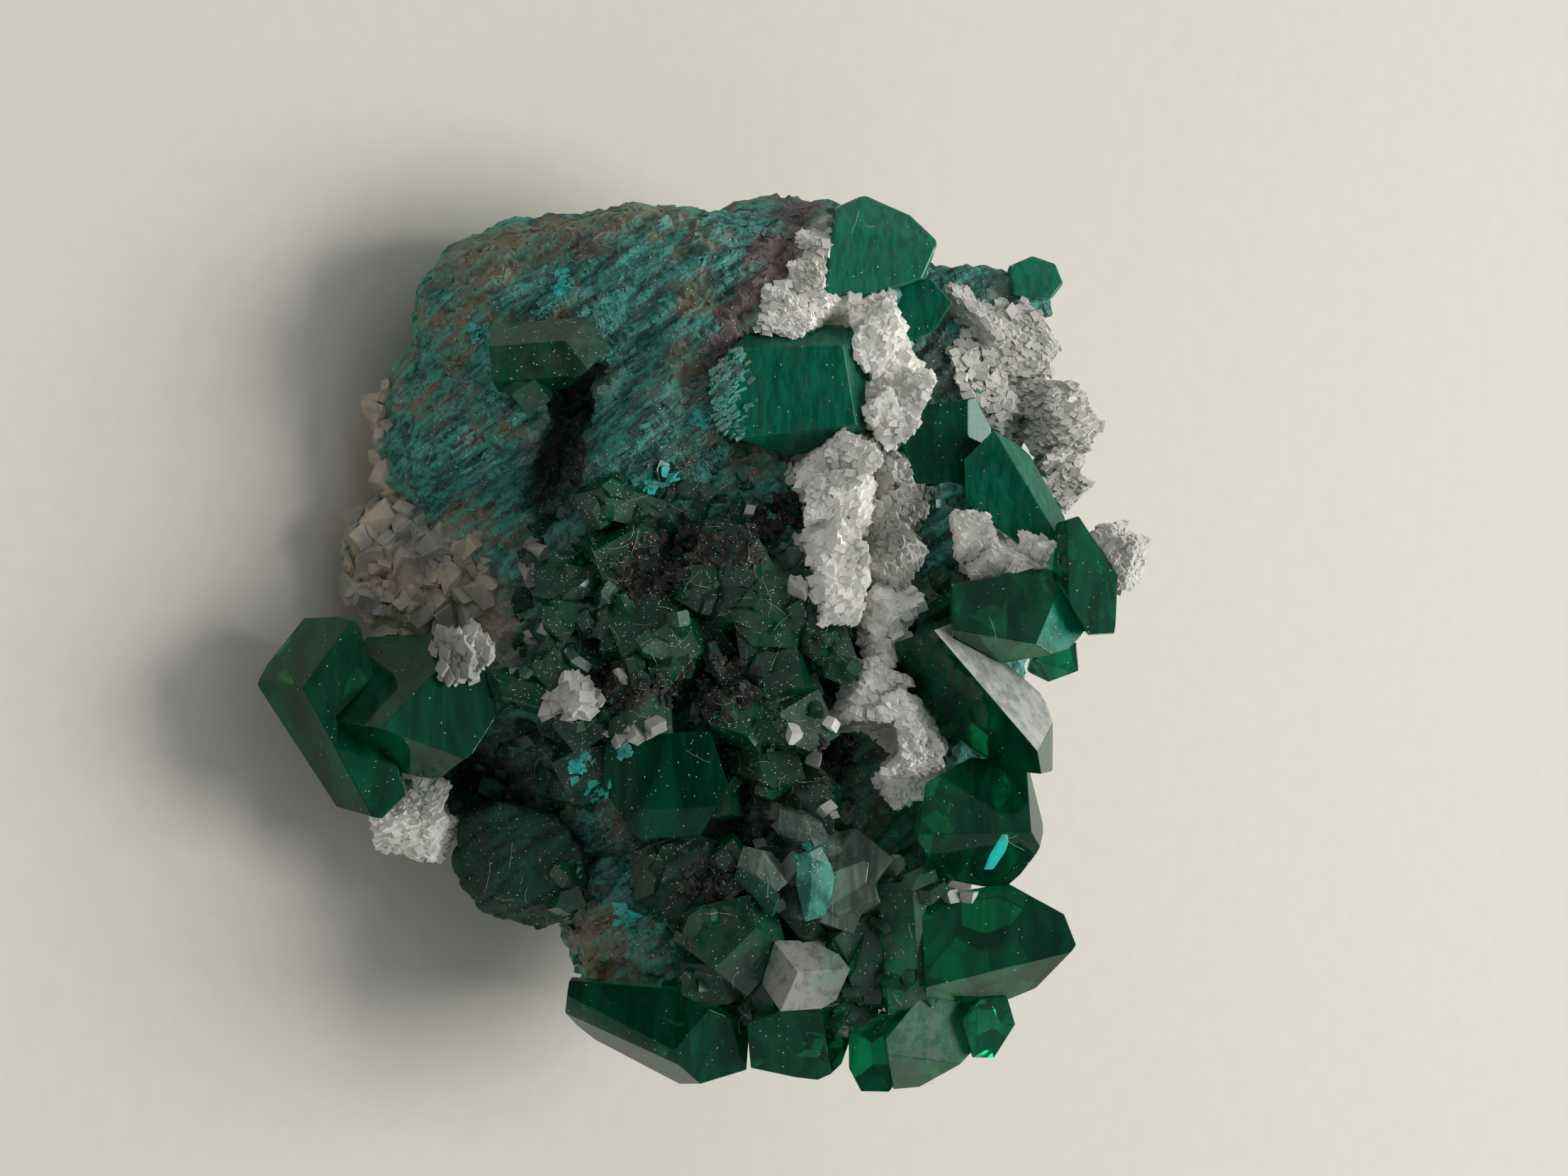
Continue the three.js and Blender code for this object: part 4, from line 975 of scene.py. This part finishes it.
def any_axis(random):
    """A direction drawn evenly from the whole sphere."""
    height = random.uniform(-1, 1)
    angle = random.uniform(0, 2 * math.pi)
    ring = math.sqrt(1 - height * height)
    return Vector((ring * math.cos(angle), ring * math.sin(angle), height))


# Placing on the surfaces made so far

class Surface:
    """The outer surfaces of some pieces, for dropping small things on them."""

    def __init__(self, kinds):
        corners, faces, self.owners = [], [], []
        for piece in bpy.data.objects:
            if piece.get("kind") not in kinds:
                continue
            start = len(corners)
            corners.extend(vertex.co.copy() for vertex in piece.data.vertices)
            faces.extend([start + index for index in side.vertices] for side in piece.data.polygons)
            self.owners.extend([piece["kind"]] * len(piece.data.polygons))
        self.tree = BVHTree.FromPolygons(corners, faces)

    def drop(self, x, y):
        """Where a fall onto the face ends: point, outward normal and kind of piece."""
        point, normal, index, _ = self.tree.ray_cast(from_face(x, y, RAY_START), -FACE_Z)
        if point is None or point.z < RIM_HEIGHT:
            return None
        return point, normal, self.owners[index]


def within(outline, x, y):
    """Whether a point is inside an outline."""
    inside = False
    for (x1, y1), (x2, y2) in zip(outline, outline[1:] + outline[:1]):
        if (y1 > y) != (y2 > y) and x < x1 + (y - y1) * (x2 - x1) / (y2 - y1):
            inside = not inside
    return inside


def sown(outline, spacing, random):
    """Points on a shaken grid within an outline."""
    xs = [x for x, _ in outline]
    ys = [y for _, y in outline]
    points = []
    y = min(ys)
    while y < max(ys):
        x = min(xs)
        while x < max(xs):
            spot = (x + random.uniform(-0.5, 0.5) * spacing, y + random.uniform(-0.5, 0.5) * spacing)
            if within(outline, *spot):
                points.append(spot)
            x += spacing
        y += spacing
    return points


def sprinkled(mesh, per_square, random):
    """Points and normals spread evenly over a bmesh's faces."""
    found = []
    bmesh.ops.triangulate(mesh, faces=mesh.faces[:])
    for side in mesh.faces:
        wanted = side.calc_area() / MM ** 2 * per_square
        count = int(wanted) + (random.random() < wanted % 1)
        first, second, third = (corner.co for corner in side.verts)
        for _ in range(count):
            u, v = random.random(), random.random()
            if u + v > 1:
                u, v = 1 - u, 1 - v
            found.append((first + (second - first) * u + (third - first) * v, side.normal.copy()))
    return found


# Operators

class DIOPTASE_OT_rock(Operator):
    """Rock with a fibrous teal crust and broken layers, and the silky green dome on it"""

    bl_idname = "dioptase.rock"
    bl_label = "Rock"

    def execute(self, context):
        piece = as_object(merged_copy(ROCK), "rock_crust")
        remeshed(piece, detail().rock_grain)
        roughen_rock(piece, detail().rock_swell, 1)
        finish_piece(piece, rock_material(), "rock", [ROCK])
        dome = as_object(merged_copy(DOME), "green_dome_fibres")
        remeshed(dome, detail().dome_grain)
        roughen_rock(dome, detail().growth, DOME_RELIEF)
        silky = grain_material("silky_green", colours().silk, colours().silk_light, 0.5, 1.0, fibrous=True)
        finish_piece(dome, silky, "rock", [DOME])
        return {"FINISHED"}


class DIOPTASE_OT_crystals(Operator):
    """Every dioptase crystal, with worn edges and clear or cloudy green"""

    bl_idname = "dioptase.crystals"
    bl_label = "Dioptase crystals"

    def execute(self, context):
        shades = colours()
        looks = {name: emerald(name, **look) for name, look in EMERALD_LOOKS.items()}
        for node in sorted(frame["nodes"]):
            if node in (ROCK, DOME) or node.startswith("calcite"):
                continue
            edge = detail().round_edge if node in ROUND_NODES else detail().edge
            piece = as_object(crystal_copy(node, edge, detail().growth), f"{node}_faces")
            material = looks[look_for(node, CRYSTAL_LOOKS, "emerald")]
            kind = "crowd" if node in CROWDED_NODES else "crystal"
            finish_piece(piece, material, kind, [node])
        # Films over single facets: dull dust, a frosted facet with a painted reflection, and a painted glow.
        for node, way, shade, roughness in FACET_FILMS:
            film = as_object(facet_film(node, way), f"{node}_{shade}")
            tint = getattr(shades, shade)
            deep = [FILM_DEPTH * part for part in tint]
            look = bpy.data.materials.get(shade) or grain_material(shade, deep, tint, roughness, 1.2)
            finish_piece(film, look, "crowd" if node in CROWDED_NODES else "crystal")
        return {"FINISHED"}


class DIOPTASE_OT_calcite(Operator):
    """Calcite clumps built of small rhombs that share one direction in each clump"""

    bl_idname = "dioptase.calcite"
    bl_label = "Calcite"

    def execute(self, context):
        looks = {name: calcite_material(name, *look) for name, look in CALCITE_LOOKS.items()}
        surface = Surface(("rock", "crystal", "crowd"))
        for place, (node, outline) in enumerate(CALCITE_CRUST.items()):
            random = Random(SEEDS["calcite"] + place)
            templates = several(rhomb_template, random)
            piece = as_object(crystal_copy(node, detail().edge, CALCITE_GROWTH), f"{node}_rhombs")
            if outline:
                self.fill(piece, outline, surface, templates, random, CALCITE_COARSE.get(node, 1))
            material = looks[look_for(node, CLUMP_LOOKS, "calcite")]
            finish_piece(piece, material, "calcite", [node])
        self.singles(looks["grey_calcite"])
        return {"FINISHED"}

    def fill(self, piece, outline, surface, templates, random, coarse):
        """Covers a clump's solid with teeth and fills its outline with a low crust."""
        lie = (FACE_Z + CLUMP_LEAN * any_axis(random)).normalized()
        spin = random.uniform(0, FULL_TURN)
        mesh = bmesh.new()
        mesh.from_mesh(piece.data)
        spots = self.coat(mesh, random, coarse) + self.crust(outline, surface, random, coarse)
        places = []
        for at, size in spots:
            axis = lie + RHOMB_LEAN * any_axis(random)
            turn = spin + random.uniform(-0.5, 0.5)
            places.append((random.randrange(len(templates)), placed_at(at, axis, turn, (size,) * 3)))
        join_meshes(piece, stamped("rhombs", templates, places))

    def crust(self, outline, surface, random, coarse):
        """Places and sizes of the rhombs that fill the clump's outline where it lies on rock."""
        spots = []
        step = detail().crust_step * coarse
        for x, y in sown(outline, step / MM, random):
            found = surface.drop(x, y)
            size = step * random.uniform(0.9, 2.2) / math.sqrt(coarse)
            if found and found[2] != "crystal":
                spots.append((found[0] + FACE_Z * size * random.uniform(-0.25, 0.25), size))
        return spots

    def coat(self, mesh, random, coarse):
        """Places and sizes of the small rhombs all over a solid."""
        spots = []
        for point, normal in sprinkled(mesh, detail().calcite_teeth / coarse ** 2, random):
            size = detail().calcite_grain * coarse * random.uniform(0.35, 1.6)
            spots.append((point + normal * size * random.uniform(-0.45, 0.1 - 0.1 * coarse), size))
        mesh.free()
        return spots

    def singles(self, material):
        """Small rhombs on the crowded middle, each with a smaller one beside it."""
        random = Random(SEEDS["rhombs"])
        surface = Surface(SOLID_KINDS)
        templates = several(rhomb_template, random)
        places = []
        for x, y, edge in SMALL_RHOMBS:
            for away, share in ((0, 0.85), (0.5 * edge, 0.5)):
                size = edge * MM * share
                found = surface.drop(x + random.uniform(-away, away), y + random.uniform(-away, away))
                axis, spin = any_axis(random), random.uniform(0, FULL_TURN)
                if found:
                    which = random.randrange(len(templates))
                    at = found[0] + FACE_Z * size * 0.1
                    places.append((which, placed_at(at, axis, spin, (size,) * 3)))
        finish_piece(stamped("small_calcite_rhombs", templates, places), material, "calcite")


class DIOPTASE_OT_druse(Operator):
    """Crowds of small dusty dioptase crystals between the large ones"""

    bl_idname = "dioptase.druse"
    bl_label = "Small crystals"

    def execute(self, context):
        surface = Surface(SOLID_KINDS)
        random = Random(SEEDS["druse"])
        templates = several(prism_template, random, 8)
        places = []
        for outline, spacing, radius in DRUSE_PATCHES:
            middle = Vector((sum(x for x, _ in outline), sum(y for _, y in outline))) / len(outline)
            for x, y in sown(outline, spacing, random):
                if not within(TEAL_ZONE, x, y):
                    lean = Vector((x, y)) - middle
                    places += self.grow(surface, x, y, lean, radius, templates, random)
        for x, y, z, size in GAP_CRYSTALS:
            size *= MM
            places.append((0, placed_at(from_face(x, y, z), FACE_Z, 0.3, (size, size, 1.5 * size))))
        piece = stamped("small_crystals", templates, places)
        finish_piece(piece, bpy.data.materials["dusty_emerald"], "crowd")
        places = []
        surface = Surface(SOLID_KINDS)
        for x, y in sown(PALE_PATCH, PALE_SPACING, random):
            lean = Vector((x - PALE_MIDDLE[0], y - PALE_MIDDLE[1]))
            places += self.grow(surface, x, y, lean, PALE_RADIUS, templates, random)
        piece = stamped("pale_crystals", templates, places)
        finish_piece(piece, bpy.data.materials["pale_emerald"], "crowd")
        return {"FINISHED"}

    def grow(self, surface, x, y, lean, radius, templates, random):
        """One crystal that leans outward from the middle of its crowd, if it has ground to grow on."""
        found = surface.drop(x, y)
        heading = math.atan2(lean.y, lean.x) + random.uniform(-1.2, 1.2)
        rise = math.radians(random.uniform(5, 62))
        size = radius * MM * random.uniform(0.45, 1.5)
        stretch = random.uniform(0.9, 1.5)
        spin, which = any_pick(random, templates)
        keep = random.random()
        if not found or found[2] in ("crystal", "calcite") or (found[2] == "crowd" and keep > CROWD_SHARE):
            return []
        axis = heading_way(heading) * math.cos(rise) + FACE_Z * math.sin(rise)
        tip = found[0] + axis * size * 1.1
        return [(which, placed_at(tip, axis, spin, (size, size, size * stretch)))]


class DIOPTASE_OT_crust(Operator):
    """Teal flakes, turquoise grains, bright planes, one a painted reflection, dark grit and coarse beige
    grains
    """

    bl_idname = "dioptase.crust"
    bl_label = "Crust"

    def execute(self, context):
        shades = colours()
        surface = Surface(SOLID_KINDS)
        finish_piece(self.flakes(surface), bpy.data.materials["teal_rock"], "crumb")
        turquoise = grain_material("turquoise", shades.teal, shades.turquoise, 0.55, 1.4)
        finish_piece(self.spots(surface), turquoise, "crumb")
        # Bright planes; the cyan one's colour is a painted reflection.
        for name, x, y, heading, sizes, tints in PLANES:
            shiny = grain_material(name, *(getattr(shades, tint) for tint in tints), 0.35, 0.9)
            finish_piece(self.plane(surface, name, x, y, heading, sizes), shiny, "crumb")
        dark = grain_material("dark_grit", shades.black, shades.grit, 0.6, 1.5)
        finish_piece(self.grit(surface), dark, "crowd")
        sandy = grain_material("beige_grains", shades.beige, shades.calcite_grey, 0.42, 0.5)
        finish_piece(self.beige(surface), sandy, "crumb")
        return {"FINISHED"}

    def flakes(self, surface):
        """Thin flakes along the rock's fibres, fewer where they creep over a crystal."""
        random = Random(SEEDS["flakes"])
        templates = several(flake_template, random)
        places = []
        for outline, spacing in ((SLAB, FLAKE_SPACING), (TEAL_ZONE, FLAKE_SPACING), (CREEP, CREEP_SPACING)):
            bare = ("calcite",) if outline is CREEP else ("calcite", "crystal", "crowd")
            for x, y in sown(outline, spacing, random):
                found = surface.drop(x, y)
                heading = FIBRE_TURN + random.uniform(-0.5, 0.5)
                size = detail().flake * random.uniform(0.5, 1.3)
                tilt = random.uniform(-0.5, 0.5)
                which = random.randrange(len(templates))
                thin = outline is CREEP and random.random() < (y - CREEP_FROM) / (CREEP_TO - CREEP_FROM)
                if thin or not found or found[2] in bare:
                    continue
                run = heading_way(heading)
                up = (found[1] + run.cross(found[1]) * tilt).normalized()
                run = (run - up * run.dot(up)).normalized()
                turn = Matrix((run, up.cross(run), up)).transposed()
                matrix = Matrix.Translation(found[0]) @ (turn * size).to_4x4()
                places.append((which, matrix))
        return stamped("teal_flakes", templates, places)

    def spots(self, surface):
        """Clusters of flat turquoise grains."""
        random = Random(SEEDS["turquoise"])
        templates = several(chunk_template, random)
        places = []
        for x, y, reach in TURQUOISE_SPOTS:
            for _ in range(int(16 * reach) + 5):
                found = surface.drop(x + random.gauss(0, 0.45 * reach), y + random.gauss(0, 0.45 * reach))
                size = random.uniform(0.25, 0.7) * MM
                which = random.randrange(len(templates))
                spin = random.uniform(0, FULL_TURN)
                if found:
                    up = (found[1] + 0.5 * any_axis(random)).normalized()
                    at = found[0] - found[1] * size * 0.05
                    places.append((which, placed_at(at, up, spin, (size, 0.7 * size, 0.3 * size))))
        return stamped("turquoise_grains", templates, places)

    def plane(self, surface, name, x, y, heading, sizes):
        """A thin bright plane that lies flush on a crystal's face."""
        length, width, thick = sizes
        at, up, _ = surface.drop(x, y)
        run = heading_way(math.radians(heading))
        run -= FACE_Z * (run.dot(up) / FACE_Z.dot(up))
        size = Matrix.Diagonal((length * MM * run.length, width * MM, thick * MM))
        run.normalize()
        turn = Matrix((run, up.cross(run), up)).transposed()
        templates = [chunk_template(Random(SEEDS["plane"]))]
        return stamped(name, templates, [(0, Matrix.Translation(at) @ (turn @ size).to_4x4())])

    def grit(self, surface):
        """Dark chunks on the rock and on the crowded crystals."""
        random = Random(SEEDS["grit"])
        templates = several(chunk_template, random)
        places = []
        for outline in GRIT_PATCHES:
            for x, y in sown(outline, GRIT_SPACING, random):
                found = surface.drop(x, y)
                size = random.uniform(0.2, 0.62) * MM
                axis = any_axis(random)
                spin, which = any_pick(random, templates)
                if found and found[2] in ("rock", "crowd"):
                    up = (found[1] + 0.5 * axis).normalized()
                    at = found[0] - found[1] * size * 0.1
                    places.append((which, placed_at(at, up, spin, (size, 0.8 * size, 0.5 * size))))
        return stamped("dark_grit", templates, places)

    def beige(self, surface):
        """Coarse chunks on bare rock."""
        random = Random(SEEDS["beige"])
        templates = several(chunk_template, random, 8)
        places = []
        for x, y in sown(BEIGE_GRAINS, BEIGE_SPACING, random):
            found = surface.drop(x, y)
            size = detail().beige_grain * random.uniform(0.4, 1.4)
            axis = any_axis(random)
            spin, which = any_pick(random, templates)
            if found and found[2] == "rock":
                places.append((which, placed_at(found[0] - FACE_Z * size * 0.25, axis, spin, (size,) * 3)))
        return stamped("beige_grains", templates, places)


class DIOPTASE_OT_dust(Operator):
    """White dust specks and lint fibres that lie on the face"""

    bl_idname = "dioptase.dust"
    bl_label = "Dust and lint"

    def execute(self, context):
        shades = colours()
        surface = Surface(SOLID_KINDS + ("crumb",))
        pale = grain_material("dust", shades.calcite_shade, shades.calcite, 0.7, 2.0)
        finish_piece(self.specks(surface), pale, "dust")
        finish_piece(self.lint(surface), pale, "dust")
        return {"FINISHED"}

    def specks(self, surface):
        """Specks on all that looks toward the viewer, few on clean crystals and calcite."""
        random = Random(SEEDS["specks"])
        templates = several(flake_template, random)
        places = []
        while len(places) < detail().specks:
            outline = LINT_PATCH if random.random() < SPECK_MIDDLE else WHOLE_FACE
            x, y = (random.uniform(*reach) for reach in FACE_REACH)
            size = detail().speck * random.uniform(0.5, 1.6)
            keep = random.random()
            spin, which = any_pick(random, templates)
            if not within(outline, x, y):
                continue
            found = surface.drop(x, y)
            if not found or found[1].dot(FACE_Z) < SPECK_FACING or keep > SPECK_SHARE.get(found[2], 1):
                continue
            at = found[0] + found[1] * size * 0.08
            places.append((which, placed_at(at, found[1], spin, (size, size, size))))
        return stamped("dust_specks", templates, places)

    def lint(self, surface):
        """Thin curled fibres that follow the surface under them."""
        random = Random(SEEDS["lint"])
        curve = bpy.data.curves.new("lint", "CURVE")
        curve.dimensions = "3D"
        curve.bevel_depth = detail().fibre / 2
        curve.bevel_resolution = 0
        curve.use_fill_caps = True
        made = 0
        while made < detail().fibres:
            outline = LINT_PATCH if random.random() < FIBRE_MIDDLE else WHOLE_FACE
            x, y = (random.uniform(*reach) for reach in FACE_REACH)
            heading, bend = random.uniform(0, FULL_TURN), random.uniform(-0.08, 0.08)
            step, keep = random.uniform(0.02, 0.1), random.random()
            under = surface.drop(x, y)
            if not within(outline, x, y) or not under or keep > FIBRE_SHARE.get(under[2], 1):
                continue
            points = []
            for _ in range(FIBRE_KNOTS):
                found = surface.drop(x, y)
                if not found:
                    break
                points.append(found[0] + FACE_Z * (FIBRE_LIFT + FIBRE_SWAY * random.random()) * MM)
                heading += bend + random.uniform(-0.16, 0.16)
                x += step * math.cos(heading)
                y += step * math.sin(heading)
            gaps = [(after - before).length for before, after in zip(points, points[1:])]
            if len(points) < FIBRE_KNOTS or max(gaps) > FIBRE_GAP * step * MM:
                continue
            spline = curve.splines.new("POLY")
            spline.points.add(len(points) - 1)
            for knot, point in zip(spline.points, points):
                knot.co = (*point, 1)
            made += 1
        holder = linked("lint_curve", curve)
        data = shaped_mesh(holder)
        bpy.data.objects.remove(holder)
        return linked("lint_fibres", data)


class DIOPTASE_OT_stage(Operator):
    """Pale floor, soft window light and the camera"""

    bl_idname = "dioptase.stage"
    bl_label = "Stage"

    def execute(self, context):
        self.floor()
        self.light(context.scene)
        self.camera(context.scene)
        context.scene.view_settings.view_transform = "Standard"
        return {"FINISHED"}

    def floor(self):
        """A wide plain floor, faintly mottled."""
        mesh = bmesh.new()
        bmesh.ops.create_grid(mesh, x_segments=1, y_segments=1, size=FLOOR_SIZE)
        floor = as_object(mesh, "floor")
        made, tree, out = new_material("floor")
        place = put(tree, "ShaderNodeTexCoord").outputs["Object"]
        shade = colours().floor
        worn = spread(tree, cloud(tree, place, 900.0, 4.0), 0.3, 0.7)
        colour = blend_colour(tree, worn, [0.97 * part for part in shade], shade)
        shade_surface(tree, out, {"Base Color": colour, "Roughness": 0.6})
        floor.data.materials.append(made)

    def light(self, scene):
        """An even sky that is dimmer on the viewer's side, and one large window."""
        settings = scene.dioptase_stage
        world = bpy.data.worlds.new("room")
        world.use_nodes = True
        tree = world.node_tree
        sky = tree.nodes["Background"]
        sky.inputs["Color"].default_value = SKY_TINT
        way = put(tree, "ShaderNodeTexCoord").outputs["Generated"]
        ahead = likeness(tree, way, FACE_Z)
        strength = spread(tree, ahead, 0.6, 0.95, settings.fill, settings.fill * VIEWER_SHADE)
        tree.links.new(strength, sky.inputs["Strength"])
        scene.world = world
        lamp = bpy.data.lights.new("window", "AREA")
        lamp.energy = settings.window_power
        lamp.shape = "RECTANGLE"
        lamp.size, lamp.size_y = WINDOW_SIZE
        lamp.color = WINDOW_TINT
        window = linked("window", lamp)
        window.location = WINDOW_PLACE
        aim = WINDOW_AIM - WINDOW_PLACE
        window.rotation_euler = aim.to_track_quat("-Z", "Y").to_euler()

    def camera(self, scene):
        """Looks square onto the face, with the specimen's left at the top of the picture."""
        settings = scene.dioptase_stage
        lens = bpy.data.cameras.new("camera")
        lens.lens = settings.lens
        lens.sensor_width = SENSOR_WIDTH
        lens.clip_start, lens.clip_end = CLIP
        camera = linked("camera", lens)
        eye = from_face(*PICTURE_MIDDLE) + FACE_Z * settings.distance
        turn = Matrix((FACE_Y, -FACE_X, FACE_Z)).transposed()
        camera.matrix_world = Matrix.Translation(eye) @ turn.to_4x4()
        scene.camera = camera


class DIOPTASE_PT_specimen(Panel):
    """Lists the steps that dress the specimen, with their settings"""

    bl_label = "Dioptase specimen"
    bl_idname = "DIOPTASE_PT_specimen"
    bl_space_type = "VIEW_3D"
    bl_region_type = "UI"
    bl_category = "Specimen"

    def draw(self, context):
        for operator in OPERATORS:
            self.layout.operator(operator.bl_idname)
        scene = context.scene
        for settings in (scene.dioptase_colours, scene.dioptase_detail, scene.dioptase_stage):
            for name in settings.__annotations__:
                self.layout.prop(settings, name)


OPERATORS = (
    DIOPTASE_OT_rock, DIOPTASE_OT_crystals, DIOPTASE_OT_calcite, DIOPTASE_OT_druse, DIOPTASE_OT_crust,
    DIOPTASE_OT_dust, DIOPTASE_OT_stage,
)
CLASSES = (DioptaseColours, DioptaseDetail, DioptaseStage) + OPERATORS + (DIOPTASE_PT_specimen,)


def register():
    for one in CLASSES:
        bpy.utils.register_class(one)
    bpy.types.Scene.dioptase_colours = PointerProperty(type=DioptaseColours)
    bpy.types.Scene.dioptase_detail = PointerProperty(type=DioptaseDetail)
    bpy.types.Scene.dioptase_stage = PointerProperty(type=DioptaseStage)


def unregister():
    del bpy.types.Scene.dioptase_stage
    del bpy.types.Scene.dioptase_detail
    del bpy.types.Scene.dioptase_colours
    for one in reversed(CLASSES):
        bpy.utils.unregister_class(one)


def main():
    register()
    patch_group()
    dust_group()
    growth_group()
    bpy.ops.dioptase.rock()
    bpy.ops.dioptase.crystals()
    bpy.ops.dioptase.calcite()
    bpy.ops.dioptase.druse()
    bpy.ops.dioptase.crust()
    bpy.ops.dioptase.dust()
    bpy.ops.dioptase.stage()


if __name__ == "__main__":
    main()
